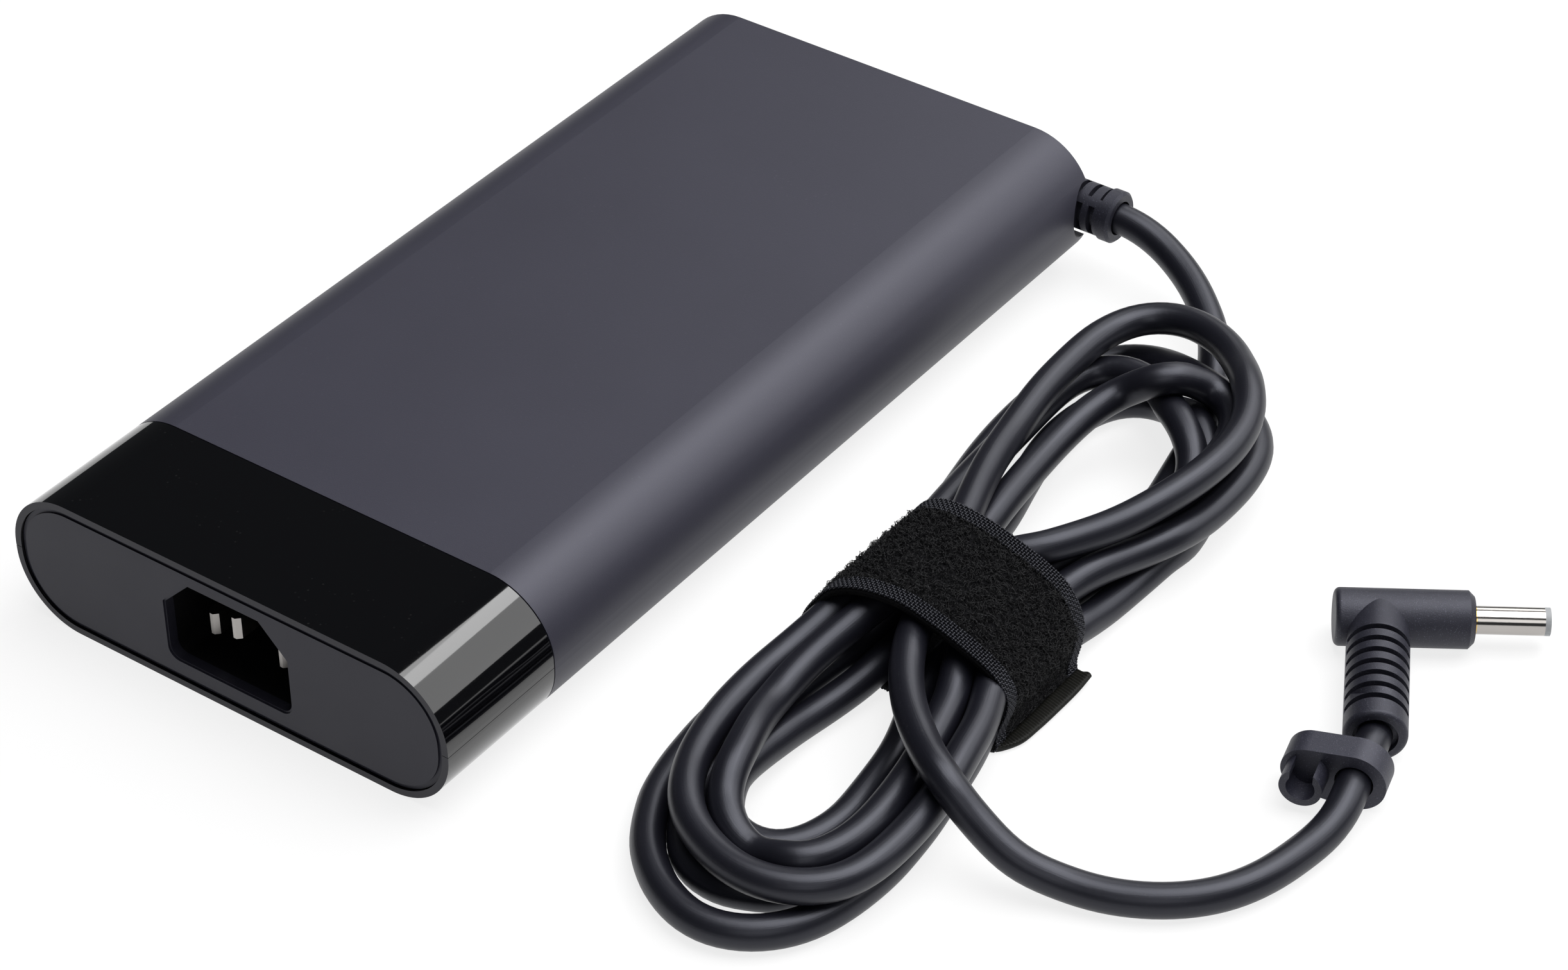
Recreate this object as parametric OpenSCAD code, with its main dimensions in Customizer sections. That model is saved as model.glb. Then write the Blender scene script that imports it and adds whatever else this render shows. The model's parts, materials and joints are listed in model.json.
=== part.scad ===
// Slim AC/DC power adapter with a side-exit output cord, a right-angle barrel
// plug, a cord clip and a hook-and-loop cable strap.
// Millimetres. +Y runs from the mains inlet to the cord end, +Z is up and the
// underside of the housing lies on Z = 0. The housing is centred on X and Y.

/* [Housing] */
// Length of the housing along Y
body_length = 178; // [160:1:200]
// Width of the housing along X
body_width = 88; // [84:1:100]
// Height of the housing
body_height = 25.4; // [25:0.2:30]
// Radius of the rounded long sides
side_radius = 12; // [10:0.5:12.5]
// Wall thickness of the covers
wall = 2.4; // [2:0.1:2.6]
// Height of the parting line between the two covers
parting_z = 12.6; // [12:0.1:14]
// Depth of the tongue of the lower cover that seats inside the upper one
tongue_depth = 1.2; // [0.8:0.1:2]

/* [Glossy inlet end] */
// Length of the glossy trim from the inlet face
trim_length = 25.7; // [20:0.1:30]
// Thickness of the trim, let into the covers
trim_wall = 1.2; // [0.8:0.1:1.4]
// Width of the seam between trim and cover
seam = 0.25; // [0.1:0.05:0.5]
// Thickness of the inlet face plate
plate_thickness = 2; // [1.6:0.1:3]
// How far the plate lies behind the rim of the trim
plate_recess = 0.2; // [0.1:0.1:0.8]
// Depth of the fine step round the plate's edge and round the opening
plate_step = 0.3; // [0.2:0.05:0.5]
// Width of the step round the plate's edge
plate_margin = 0.8; // [0.5:0.1:1.5]

/* [Mains inlet] */
// Width of the socket opening
inlet_width = 24.8; // [24:0.1:26]
// Height of the socket opening
inlet_height = 16; // [15.5:0.1:16.5]
// Height of the middle of the opening above the underside
inlet_z = 13; // [12.6:0.1:13.2]
// Size of the two upper corner chamfers
inlet_chamfer = 5.2; // [4.5:0.1:6]
// Depth of the socket behind the face plate
inlet_depth = 17; // [15:0.5:19]
// Distance between the line and neutral pins
pin_pitch = 14; // [13:0.1:14.4]
// Length of the line and neutral pins inside the socket
pin_length = 14.6; // [13:0.1:15.5]
// How much further the earth pin reaches
earth_extra = 2.3; // [1:0.1:2.5]
// How far the earth pin stands above the other two
earth_rise = 4; // [3.5:0.1:4.5]

/* [Strain relief] */
// Height of the cord exit above the underside
relief_z = 13; // [12.6:0.1:14]
// Outer diameter of the slotted boot
relief_d = 8.8; // [8:0.1:10]
// Radius of the channel in the end of the housing that the boot lies in
channel_r = 5.8; // [5.4:0.1:6.4]
// Distance from the middle of the housing to the elbow of the boot
elbow_x = 33; // [30:0.5:34]
// Distance from the middle of the housing to the tip of the boot
relief_tip_x = 50; // [49:0.5:51]

/* [Output cord] */
// Diameter of the output cord
cord_d = 5.5; // [5:0.1:5.6]
// Height of the tied hank
hank_height = 14; // [12:0.5:16]

/* [Cable strap] */
// Width of the strap along the hank
strap_width = 25.5; // [24:0.5:25.5]
// Thickness of the strap
strap_t = 1.4; // [1:0.1:1.6]
// Length of the free end beside the strap
tab_length = 4.6; // [3:0.1:6]

/* [Plug] */
// Diameter of the plug head
head_d = 9.3; // [9:0.1:10]
// Length of the plug head
head_length = 21.9; // [20:0.1:24]
// Diameter of the ribbed stem
stem_d = 10; // [9.6:0.1:10.2]
// Outer diameter of the metal barrel
barrel_d = 4.5; // [4:0.1:5]
// Inner diameter of the barrel's insulating lining
bore_d = 3; // [2.6:0.1:3]
// Length of the barrel outside the head
barrel_length = 11.9; // [10:0.1:12]

/* [Cord clip] */
// Width of the clip along the cord
clip_width = 4.8; // [4:0.1:6]
// Outer radius of the clip around the cord
clip_r = 5; // [4.8:0.1:5]
// Radius of the open socket that parks the barrel
park_r = 2.25; // [2.2:0.05:2.6]

/* [Hidden] */

$fn = 64;
eps = 0.01;
gap = 0.1;                          // fit gap between seated mouldings

front_y = -body_length / 2;
back_y = body_length / 2;
plate_y = front_y + plate_recess;   // outer face of the face plate
socket_y = plate_y + plate_thickness;
cover_end_y = back_y - wall;        // inner face of the covers' end wall
rim_inset = trim_wall + gap;
socket_wall = 1.5;
pin_w = 2;
pin_h = 4;
pin_z = inlet_z - 2;
exit_y = back_y + 0.4;              // axis of the boot across the housing's end
root_y = back_y - 9.6;              // inner end of the boot's root
root_t = 1.5;
neck_d = 6.4;

// Inner layers, from the covers inwards
spreader_t = 1;
sheet_t = 0.4;
spreader_inset = wall + gap;
sheet_inset = spreader_inset + spreader_t + gap;
board_t = 1.6;
board_z = 6;
board_top = board_z + board_t;
board_half = 37;
board_front = front_y + 5;
board_back = back_y - 10;
post_places = [[-31, -58], [31, -58], [-31, 6], [31, 8], [-31, 70], [14, 74]];

// Route of the output cord from the boot's tip to the hank
lead_route = [
    [48.7, 89.4, 13], [51.5, 89.4, 13], [54.5, 89.4, 12.4], [58, 89, 11.5],
    [62, 87.6, 10.5], [66, 85.6, 9.6], [70, 82.9, 8.7], [73.5, 80, 7.7],
    [77, 76.6, 6.7], [80, 72, 5.4], [83, 66, 3.8]
];
// Route of the output cord from the hank to the end of the plug's stem
tail_route = [
    [98.7, -45.1, 13.3], [106.3, -50.3, 12.8], [113.4, -52.3, 9.8],
    [120.8, -52.6, 5.8], [127.2, -50.4, 3.4], [133.7, -48.5, 2.75],
    [141.3, -44.6, 2.75], [147.1, -39, 2.75], [150.7, -32.1, 2.75],
    [152.6, -24, 2.75], [153.5, -18, 3], [153.5, -13, 4.1], [152.7, -9.6, 4.9],
    [151.8, -6, 5], [150.9, -2.4, 5], [149.9, 2.7, 5], [149.5, 3.5, 5]
];
cord_sides = 10;

// Hank: two lobes either side of the strap
strap_y0 = -26.5;
strap_y1 = strap_y0 + strap_width;
lower_lobe = [86.3, -67.2, 22.7];   // x, y, radius
upper_lobe = [81.3, 47.5, 24.8];
hank_waist = [66.5, 96];
// Outline of the strapped bundle across the hank: x, z, radius of each round
bundle = [[65.5, 3, 3], [70, 11, 6.5], [78, 12.5, 6.5], [84, 11.5, 7],
    [93.3, 7.6, 7.6], [97.7, 3.4, 3.4]];
tab_at = [102, strap_y0 + 2, 1.4];
tab_run = 17;                       // length of the free end along the strap's edge
tab_lift = 12;

plug_at = [136.4, 28.1, 5];
plug_turn = 33;
stem_turn = -5;                     // the stem leans towards the cord
stem_length = 28.8;                 // from the head's axis to its end
head_back = 7.1;                    // head behind the stem's axis
head_front = head_length - head_back;
front_edge = 0.9;                   // bevel of the head's barrel end
back_edge = 0.9;                    // rounding of its closed end
barrel_root = 6;                    // start of the shank inside the head
shank_d = 6.4;                      // moulded-in shoulder of the barrel
skin = 0.15;                        // moulding in front of that shoulder
lining_d = barrel_d - 0.8;
mouth_depth = 1.1;
collar_t = 0.9;                     // insulating collar at the barrel's tip
centre_pin_d = 0.6;
centre_pin_set = 1.5;               // how far the pin ends inside the barrel

clip_at = [151.8, -6, 5];
clip_turn = 14.3;
park_x = -7.2;                      // middle of the clip's small end
lobe_r = 4.2;
park_wall = 1.1;
park_lug = 4;                       // how far the socket stands out

// ---------------------------------------------------------------- helpers

// Rounded rectangle in X-Z, standing on z = inset, as the housing's section
module section_2d(inset) {
    w = body_width - 2 * inset;
    h = body_height - 2 * inset;
    r = max(side_radius - inset, 0.6);
    translate([0, body_height / 2]) union() {
        square([w - 2 * r, h], center = true);
        square([w, h - 2 * r], center = true);
        for (sx = [-1, 1], sz = [-1, 1])
            translate([sx * (w / 2 - r), sz * (h / 2 - r)]) circle(r);
    }
}

// Section carried along Y from y0 to y1
module run_y(y0, y1) {
    translate([0, y1, 0]) rotate([90, 0, 0]) linear_extrude(y1 - y0) children();
}

module housing_run(inset, y0, y1) {
    run_y(y0, y1) section_2d(inset);
}

// Everything above or below a height
module slab(z0, z1) {
    translate([-body_width, -body_length, z0])
        cube([2 * body_width, 2 * body_length, z1 - z0]);
}

// Socket outline: rectangle with two chamfered upper corners and two rounded
// lower ones, grown by grow
module inlet_2d(grow) {
    w = inlet_width / 2 + grow;
    h = inlet_height / 2 + grow;
    c = inlet_chamfer + grow * (2 - sqrt(2));
    r = 2 + grow / 2;
    translate([0, inlet_z]) union() {
        polygon([[-w, r - h], [w, r - h], [w, h - c], [w - c, h],
            [c - w, h], [-w, h - c]]);
        translate([-w + r, -h]) square([2 * (w - r), 2 * r]);
        for (sx = [-1, 1]) translate([sx * (w - r), r - h]) circle(r);
    }
}

// Box from its middle at the bottom
module block(x, y, z, size) {
    translate([x - size[0] / 2, y - size[1] / 2, z]) cube(size);
}

// Cylinder along X or Y, starting at a point
module rod_x(at, d, length) {
    translate(at) rotate([0, 90, 0]) cylinder(d = d, h = length);
}

module rod_y(at, d, length) {
    translate(at) rotate([-90, 0, 0]) cylinder(d = d, h = length);
}

function unit(v) = v / norm(v);
function tangent(p, i) =
    unit(p[min(i + 1, len(p) - 1)] - p[max(i - 1, 0)]);
function ring(p, i, r) =
    let (t = tangent(p, i), s = unit(cross(t, [0, 0, 1])), u = cross(s, t))
    [for (k = [0 : cord_sides - 1])
        let (a = 360 * k / cord_sides - 90) p[i] + r * (cos(a) * s + sin(a) * u)];

// Round tube swept along a route, one ring at each of its points
module swept_tube(p, d) {
    n = cord_sides;
    m = len(p);
    points = [for (i = [0 : m - 1]) each ring(p, i, d / 2)];
    sides = [for (i = [0 : m - 2], k = [0 : n - 1])
        [i * n + k, i * n + (k + 1) % n, (i + 1) * n + (k + 1) % n, (i + 1) * n + k]];
    start_cap = [[for (k = [n - 1 : -1 : 0]) k]];
    end_cap = [[for (k = [0 : n - 1]) (m - 1) * n + k]];
    polyhedron(points, concat(sides, start_cap, end_cap));
}

// ---------------------------------------------------------------- housing

// The channel across the end that the boot lies in, with its rounded blind end
module relief_channel(r) {
    rod_x([elbow_x - 4, exit_y, relief_z], 2 * r, body_width / 2);
    translate([elbow_x - 4, exit_y, relief_z]) sphere(r);
}

// Whole housing wall before it is parted
module housing_wall() {
    difference() {
        union() {
            housing_run(0, front_y + trim_length, back_y);
            housing_run(rim_inset, socket_y, front_y + trim_length + eps);
        }
        difference() {
            housing_run(wall, socket_y - 1, cover_end_y);
            relief_channel(channel_r + wall);
        }
        relief_channel(channel_r);
        rod_y([elbow_x, back_y - 12, relief_z], neck_d + 2 * gap, 12);
    }
}

module tongue_ring(outer_inset, z1) {
    intersection() {
        difference() {
            housing_run(outer_inset, front_y + trim_length + 2, cover_end_y - 10);
            housing_run(wall, front_y, back_y);
        }
        slab(parting_z - 1, z1);
    }
}

module top_cover() {
    color("#3b3e46") difference() {
        intersection() {
            housing_wall();
            slab(parting_z, body_height + 1);
        }
        tongue_ring(wall / 2 - gap, parting_z + tongue_depth + gap);
    }
}

module bottom_cover() {
    color("#35383f") {
        intersection() {
            housing_wall();
            slab(-1, parting_z);
        }
        intersection() {
            tongue_ring(wall / 2, parting_z + tongue_depth);
            slab(parting_z - eps, parting_z + tongue_depth);
        }
        for (p = post_places)
            translate([p[0], p[1], wall - eps])
                cylinder(d = 5, h = board_z - wall + eps);
    }
}

// Glossy trim round the inlet end, before it is parted
module end_trim() {
    difference() {
        housing_run(0, front_y, front_y + trim_length - seam);
        housing_run(trim_wall, front_y - 1, front_y + trim_length);
    }
}

module top_end_trim() {
    color("#0b0b0d") intersection() {
        end_trim();
        slab(parting_z + gap / 2, body_height + 1);
    }
}

module bottom_end_trim() {
    color("#0b0b0d") intersection() {
        end_trim();
        slab(-1, parting_z - gap / 2);
    }
}

module inlet_faceplate() {
    color("#404045") difference() {
        union() {
            housing_run(rim_inset, plate_y + plate_step, socket_y);
            housing_run(rim_inset + plate_margin, plate_y, socket_y);
        }
        run_y(plate_y - 1, socket_y + 1) inlet_2d(0);
        run_y(plate_y - 1, plate_y + plate_step) inlet_2d(plate_step);
    }
}

// ---------------------------------------------------------------- inlet

// Flat contact blade with a chamfered tip, its middle on the Y axis
module blade(length, tail) {
    tip = 0.7;
    rotate([0, 0, 90]) translate([0, 0, -pin_h / 2]) linear_extrude(pin_h)
        polygon([[-length, -pin_w / 2 + tip], [tip - length, -pin_w / 2],
            [tail, -pin_w / 2], [tail, pin_w / 2],
            [tip - length, pin_w / 2], [-length, pin_w / 2 - tip]]);
}

module inlet_socket() {
    back = socket_y + inlet_depth;
    color("#141416") difference() {
        union() {
            run_y(socket_y, back + 2.5) inlet_2d(socket_wall);
            run_y(socket_y, socket_y + 1.4)
                translate([0, inlet_z]) square([31, 19.2], center = true);
        }
        run_y(socket_y - 1, back) inlet_2d(0);
        for (sx = [-1, 1])
            block(sx * pin_pitch / 2, back, pin_z - pin_h / 2, [pin_w, 10, pin_h]);
        block(0, back, pin_z + earth_rise - pin_h / 2, [pin_w, 10, pin_h]);
    }
}

module inlet_pin(x, z, length) {
    color("#c9c5bb") translate([x, socket_y + inlet_depth, z]) blade(length, 5);
}

module line_pin() {
    inlet_pin(pin_pitch / 2, pin_z, pin_length);
}

module neutral_pin() {
    inlet_pin(-pin_pitch / 2, pin_z, pin_length);
}

module earth_pin() {
    inlet_pin(0, pin_z + earth_rise, pin_length + earth_extra);
}

// ---------------------------------------------------------------- inside

// Tray of sheet that lines one cover between two heights
module liner(inset, t, z0, z1) {
    y0 = front_y + trim_length;
    y1 = back_y - 14;
    intersection() {
        difference() {
            housing_run(inset, y0, y1);
            housing_run(inset + t, y0 - 1, y1 + 1);
        }
        slab(z0, z1);
    }
}

module post_clearance() {
    for (p = post_places) translate([p[0], p[1], 0]) cylinder(d = 6, h = board_z);
}

module top_heat_spreader() {
    color("#b9bcc0") liner(spreader_inset, spreader_t, parting_z + 2.4, body_height);
}

module bottom_heat_spreader() {
    color("#b9bcc0") difference() {
        liner(spreader_inset, spreader_t, 0, parting_z - 1);
        post_clearance();
    }
}

module insulation_sheet() {
    color("#d8d3c0") difference() {
        liner(sheet_inset, sheet_t, 0, parting_z - 1);
        post_clearance();
    }
}

bulk_at = [25, -22];
bulk_size = [18, 45];

module circuit_board() {
    color("#2f5d3a") difference() {
        translate([-board_half, board_front, board_z])
            cube([2 * board_half, board_back - board_front, board_t]);
        // round the inlet, the bulk capacitor and the cord boot
        translate([-17, board_front - 1, 0]) cube([34, 20, 20]);
        block(bulk_at[0], bulk_at[1], 0, [bulk_size[0] + 1, bulk_size[1] + 1, 20]);
        translate([20, board_back - 8, 0]) cube([30, 20, 20]);
        for (sx = [-1, 1]) translate([sx * board_half, board_front, 0])
            rotate([0, 0, 45]) cube([10, 10, 40], center = true);
    }
}

module fuse() {
    color("#cfd4d6") {
        rod_y([27, -80, board_top + 2.8], 4.4, 20);
        for (y = [-80, -65]) rod_y([27, y, board_top + 2.8], 5.2, 5);
    }
}

module x_capacitor() {
    color("#c8a63a") block(-26, -72, board_top, [16, 12, 12.5]);
}

choke_at = [-4, -50];
choke_r = [5.5, 10.5];
choke_height = 8;
choke_z = board_top + 1.4;

module line_choke_core() {
    color("#2c5b4f") translate([choke_at[0], choke_at[1], choke_z]) rotate_extrude()
        translate([choke_r[0], 0]) square([choke_r[1] - choke_r[0], choke_height]);
}

// Two windings, each of flat turns round the ring core
module line_choke_windings() {
    wire = 1.1;
    turns = 8;
    spread = 120;
    color("#b5683a") translate([choke_at[0], choke_at[1], choke_z])
        for (side = [0, 180], i = [0 : turns - 1])
            rotate([0, 0, side - spread / 2 + spread * i / (turns - 1)])
                rotate([90, 0, 0]) linear_extrude(wire, center = true) difference() {
                    translate([choke_r[0] - 1.2, -1.2])
                        square([choke_r[1] - choke_r[0] + 2.4, choke_height + 2.4]);
                    translate([choke_r[0] - gap, -gap])
                        square([choke_r[1] - choke_r[0] + 2 * gap,
                            choke_height + 2 * gap]);
                }
}

module bridge_rectifier() {
    color("#1c1c1f") {
        block(-28, -52, board_top + 1.5, [3.6, 20, 11]);
        for (i = [0 : 3]) block(-28, -59.5 + 5 * i, board_top, [0.8, 1.2, 1.6]);
    }
}

module boost_inductor() {
    color("#6a4a2c") {
        translate([-19, -23, board_top]) cylinder(d = 20, h = 12.4);
        block(-19, -23, board_top, [26, 8, 12.4]);
    }
}

module bulk_capacitor() {
    color("#22304a") difference() {
        rod_y([bulk_at[0], bulk_at[1] - bulk_size[1] / 2, body_height / 2 + 0.3],
            bulk_size[0] - 0.6, bulk_size[1]);
        // crimp groove near the terminals
        translate([bulk_at[0], bulk_at[1] - bulk_size[1] / 2 + 3, body_height / 2 + 0.3])
            rotate([-90, 0, 0]) rotate_extrude() translate([bulk_size[0] / 2, 0])
                circle(0.9);
    }
}

module heatsink(x, y, length, fins) {
    color("#9aa0a6") {
        block(x, y, board_top, [2.4, length, 12]);
        for (i = [0 : fins - 1])
            block(x + 3.2, y - length / 2 + 2 + i * (length - 4) / (fins - 1),
                board_top + 3, [4.2, 1.2, 9]);
    }
}

module primary_heatsink() {
    heatsink(3, -16, 40, 9);
}

module power_transistors() {
    color("#232327") for (y = [-30, -17, -4]) {
        block(-0.6, y, board_top + 3, [4.6, 10, 9]);
        for (dy = [-2.5, 0, 2.5]) block(-0.6, y + dy, board_top, [0.6, 0.9, 3.1]);
    }
}

core_at = [-17, 28];

module transformer_core() {
    size = [27, 32, 13];
    color("#3a3a3d") difference() {
        block(core_at[0], core_at[1], board_top, size);
        // window for the winding round the centre leg
        for (sx = [-1, 1])
            block(core_at[0] + sx * 9.6, core_at[1], board_top + 2.6, [8, 40, 7.8]);
    }
}

module transformer_winding() {
    color("#d7b24a") for (sx = [-1, 1])
        block(core_at[0] + sx * 9.6, core_at[1], board_top + 2.8, [7.6, 34, 7.4]);
}

module secondary_heatsink() {
    heatsink(12, 34, 44, 10);
}

module output_capacitors() {
    color("#2a3550") for (x = [-28, -18, -8, 2], y = [58])
        translate([x, y, board_top]) {
            cylinder(d = 8, h = 12);
            translate([0, 0, 12]) cylinder(d = 7, h = 0.5);
        }
}

module optocouplers() {
    color("#e4e2da") for (y = [6, 14, 22]) block(28, y + 6, board_top, [6.5, 4.6, 3.5]);
}

// Two insulated wires from the board to the boot
module output_leads() {
    wire_d = 1.8;
    start_y = board_back - 11;
    color("#9a2b22") for (side = [-1, 1]) translate([elbow_x + side * 1.3, start_y, 0]) {
        translate([0, 0, board_top]) cylinder(d = wire_d, h = relief_z - board_top);
        translate([0, 0, relief_z]) sphere(d = wire_d);
        rod_y([0, 0, relief_z], wire_d, root_y - start_y);
    }
}

// ---------------------------------------------------------------- boot

// Slotted boot: anchored in the end wall, turned into the channel and run out
// past the side of the housing. The slots alternate round it so that it bends.
module strain_relief() {
    core_d = 6.2;
    collar_d = relief_d + 0.7;
    slot_w = 1.2;
    pitch = 2.5;
    first = relief_tip_x - 3.9;
    rows = 5;
    color("#17181b") difference() {
        union() {
            // root flange behind the end wall, and the neck through it
            rod_y([elbow_x, root_y, relief_z], 9.6, root_t);
            rod_y([elbow_x, root_y, relief_z], neck_d, exit_y - root_y);
            // elbow
            translate([elbow_x, exit_y, relief_z]) sphere(d = relief_d);
            // slotted run and end collar
            rod_x([elbow_x, exit_y, relief_z], core_d, relief_tip_x - elbow_x);
            difference() {
                rod_x([elbow_x, exit_y, relief_z], relief_d,
                    relief_tip_x - elbow_x - 1);
                for (i = [0 : rows - 1])
                    translate([first - pitch * i, exit_y, relief_z]) {
                        for (sy = [-1, 1]) translate([0, sy * 4, 0])
                            cube([slot_w, 5, 5.6], center = true);
                        for (sz = [-1, 1]) translate([pitch / 2, 0, sz * 4])
                            cube([slot_w * 0.7, 4.2, 3.2], center = true);
                    }
            }
            rod_x([relief_tip_x - 2.4, exit_y, relief_z], collar_d, 1.9);
            translate([relief_tip_x - 0.5, exit_y, relief_z]) rotate([0, 90, 0])
                cylinder(d1 = collar_d, d2 = collar_d - 1, h = 0.5);
        }
        // mouth that the cord comes out of
        rod_x([relief_tip_x - 1.4, exit_y, relief_z], cord_d + 0.7, 2);
    }
}

// ---------------------------------------------------------------- cord

module cord_lead() {
    color("#1b1c20") swept_tube(lead_route, cord_d);
}

module cord_tail() {
    color("#1b1c20") swept_tube(tail_route, cord_d);
}

module lobe_outline(lobe, y_waist) {
    translate([lobe[0], lobe[1]]) circle(lobe[2]);
    polygon([[hank_waist[0], y_waist], [hank_waist[1], y_waist],
        [lobe[0] + lobe[2] * 0.98, lobe[1]], [lobe[0] - lobe[2] * 0.98, lobe[1]]]);
}

module bundle_2d(inset) {
    hull() for (c = bundle) translate([c[0], c[1]]) circle(c[2] - inset, $fn = 32);
}

module cord_hank() {
    color("#202126") {
        linear_extrude(hank_height) lobe_outline(lower_lobe, strap_y0);
        linear_extrude(hank_height) lobe_outline(upper_lobe, strap_y1);
        run_y(strap_y0 - eps, strap_y1 + eps) bundle_2d(strap_t);
    }
}

// ---------------------------------------------------------------- strap

module strap_band() {
    color("#101012") run_y(strap_y0 + gap, strap_y1 - gap) difference() {
        bundle_2d(0);
        bundle_2d(strap_t - eps);
    }
}

// Free hook end, whose corner stands away from the band. It peels up from
// its rounded root.
module strap_tab() {
    t = strap_t - 0.2;
    color("#16160f") translate(tab_at) rotate([0, -tab_lift, 0]) {
        rotate([-90, 0, 0]) cylinder(d = t, h = tab_run);
        translate([0, 0, -t / 2]) linear_extrude(t)
            polygon([[0, 0], [0.9, 0], [tab_length * 0.6, tab_run * 0.55],
                [tab_length, tab_run - 0.8], [tab_length - 0.6, tab_run],
                [0, tab_run]]);
    }
}

// ---------------------------------------------------------------- clip

// Tangent hull of the two ends, built from circles and one quadrilateral
module clip_2d() {
    a = asin((clip_r - lobe_r) / -park_x);
    circle(clip_r);
    translate([park_x, 0]) circle(lobe_r);
    polygon([for (p = [[0, clip_r, 90 + a], [park_x, lobe_r, 90 + a],
        [park_x, lobe_r, -90 - a], [0, clip_r, -90 - a]])
        [p[0] + p[1] * cos(p[2]), p[1] * sin(p[2])]]);
}

module cord_clip() {
    half = clip_width / 2;
    mouth = park_r * 1.6;
    color("#1d1e22") translate(clip_at) rotate([0, 0, clip_turn]) difference() {
        union() {
            run_y(-half, half) clip_2d();
            run_y(-half - park_lug, -half + eps) translate([park_x, 0])
                circle(park_r + park_wall);
        }
        rod_y([0, -half - 1, 0], cord_d + 0.5, clip_width + 2);
        // socket that holds the barrel, with its mouth upwards
        rod_y([park_x, -half - park_lug - 1, 0], 2 * park_r, park_lug + 1);
        translate([park_x - mouth / 2, -half - park_lug - 1, 0])
            cube([mouth, park_lug + 1, clip_r]);
    }
}

// ---------------------------------------------------------------- plug

module at_plug() {
    translate(plug_at) rotate([0, 0, plug_turn]) children();
}

// Ribs: a groove every pitch, cut from above and from below, so that a web
// stays along both sides of the stem, where the mould halves meet
module stem_grooves() {
    groove = 1.15;
    pitch = 2.75;
    count = 7;
    first = 7.6;
    web = 1.8;
    core_d = stem_d - 3;
    for (i = [0 : count - 1]) translate([0, -first - pitch * i - groove, 0])
        difference() {
            rod_y([0, 0, 0], stem_d + 2, groove);
            rod_y([0, -1, 0], core_d, groove + 2);
            translate([0, groove / 2, 0])
                cube([stem_d + 4, 2 * groove, web], center = true);
        }
}

// The stem starts a little thinner than the head, so the two meet in a steep
// arch over the top, then widens to its ribs and ends in a rounded rim
module plug_stem() {
    taper = 7;
    root_d = head_d - 0.3;
    rim = 0.8;
    rotate([0, 0, stem_turn]) difference() {
        union() {
            rotate([90, 0, 0]) cylinder(d1 = root_d, d2 = stem_d, h = taper);
            rod_y([0, rim - stem_length, 0], stem_d, stem_length - rim - taper + eps);
            translate([0, rim - stem_length, 0]) rotate([90, 0, 0]) rotate_extrude() {
                square([stem_d / 2 - rim, rim]);
                translate([stem_d / 2 - rim, 0]) intersection() {
                    circle(rim);
                    square(rim);
                }
            }
        }
        stem_grooves();
        // mouth that the cord enters
        rod_y([0, -stem_length - 1, 0], cord_d + 1.5, 1 + mouth_depth);
    }
}

module plug_boot() {
    color("#1e1f25") at_plug() difference() {
        union() {
            rod_x([back_edge - head_back, 0, 0], head_d,
                head_length - back_edge - front_edge);
            translate([head_front - front_edge, 0, 0]) rotate([0, 90, 0])
                cylinder(d1 = head_d, d2 = head_d - 2 * front_edge, h = front_edge);
            // closed end with a rounded edge
            translate([back_edge - head_back, 0, 0]) rotate([0, -90, 0])
                rotate_extrude() {
                    square([head_d / 2 - back_edge, back_edge]);
                    translate([head_d / 2 - back_edge, 0]) intersection() {
                        circle(back_edge);
                        square(back_edge);
                    }
                }
            plug_stem();
        }
        rod_x([barrel_root, 0, 0], shank_d, head_front - skin - barrel_root);
        rod_x([barrel_root, 0, 0], barrel_d, head_front);
    }
}

module plug_barrel() {
    color("#c9c9c4") at_plug() difference() {
        union() {
            rod_x([barrel_root, 0, 0], shank_d, head_front - skin - barrel_root);
            rod_x([head_front - skin - eps, 0, 0], barrel_d,
                barrel_length - collar_t + skin + eps);
        }
        rod_x([barrel_root - 1, 0, 0], lining_d, 30);
    }
}

module plug_insulator() {
    end = head_front + barrel_length;
    color("#8d9094") at_plug() difference() {
        union() {
            rod_x([barrel_root, 0, 0], lining_d, end - barrel_root);
            rod_x([end - collar_t, 0, 0], barrel_d, collar_t);
        }
        rod_x([barrel_root + 2, 0, 0], bore_d, 30);
        rod_x([barrel_root - 1, 0, 0], centre_pin_d, 4);
    }
}

module plug_centre_pin() {
    color("#d8b65a") at_plug()
        rod_x([barrel_root, 0, 0], centre_pin_d,
            head_front + barrel_length - centre_pin_set - barrel_root);
}

top_cover();
bottom_cover();
top_end_trim();
bottom_end_trim();
inlet_faceplate();
inlet_socket();
line_pin();
neutral_pin();
earth_pin();
top_heat_spreader();
bottom_heat_spreader();
insulation_sheet();
circuit_board();
fuse();
x_capacitor();
line_choke_core();
line_choke_windings();
bridge_rectifier();
boost_inductor();
bulk_capacitor();
primary_heatsink();
power_transistors();
transformer_core();
transformer_winding();
secondary_heatsink();
output_capacitors();
optocouplers();
output_leads();
strain_relief();
cord_lead();
cord_hank();
cord_tail();
strap_band();
strap_tab();
cord_clip();
plug_boot();
plug_barrel();
plug_insulator();
plug_centre_pin();
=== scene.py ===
import json
import math
import bpy
import numpy as np
from mathutils import Matrix


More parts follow.
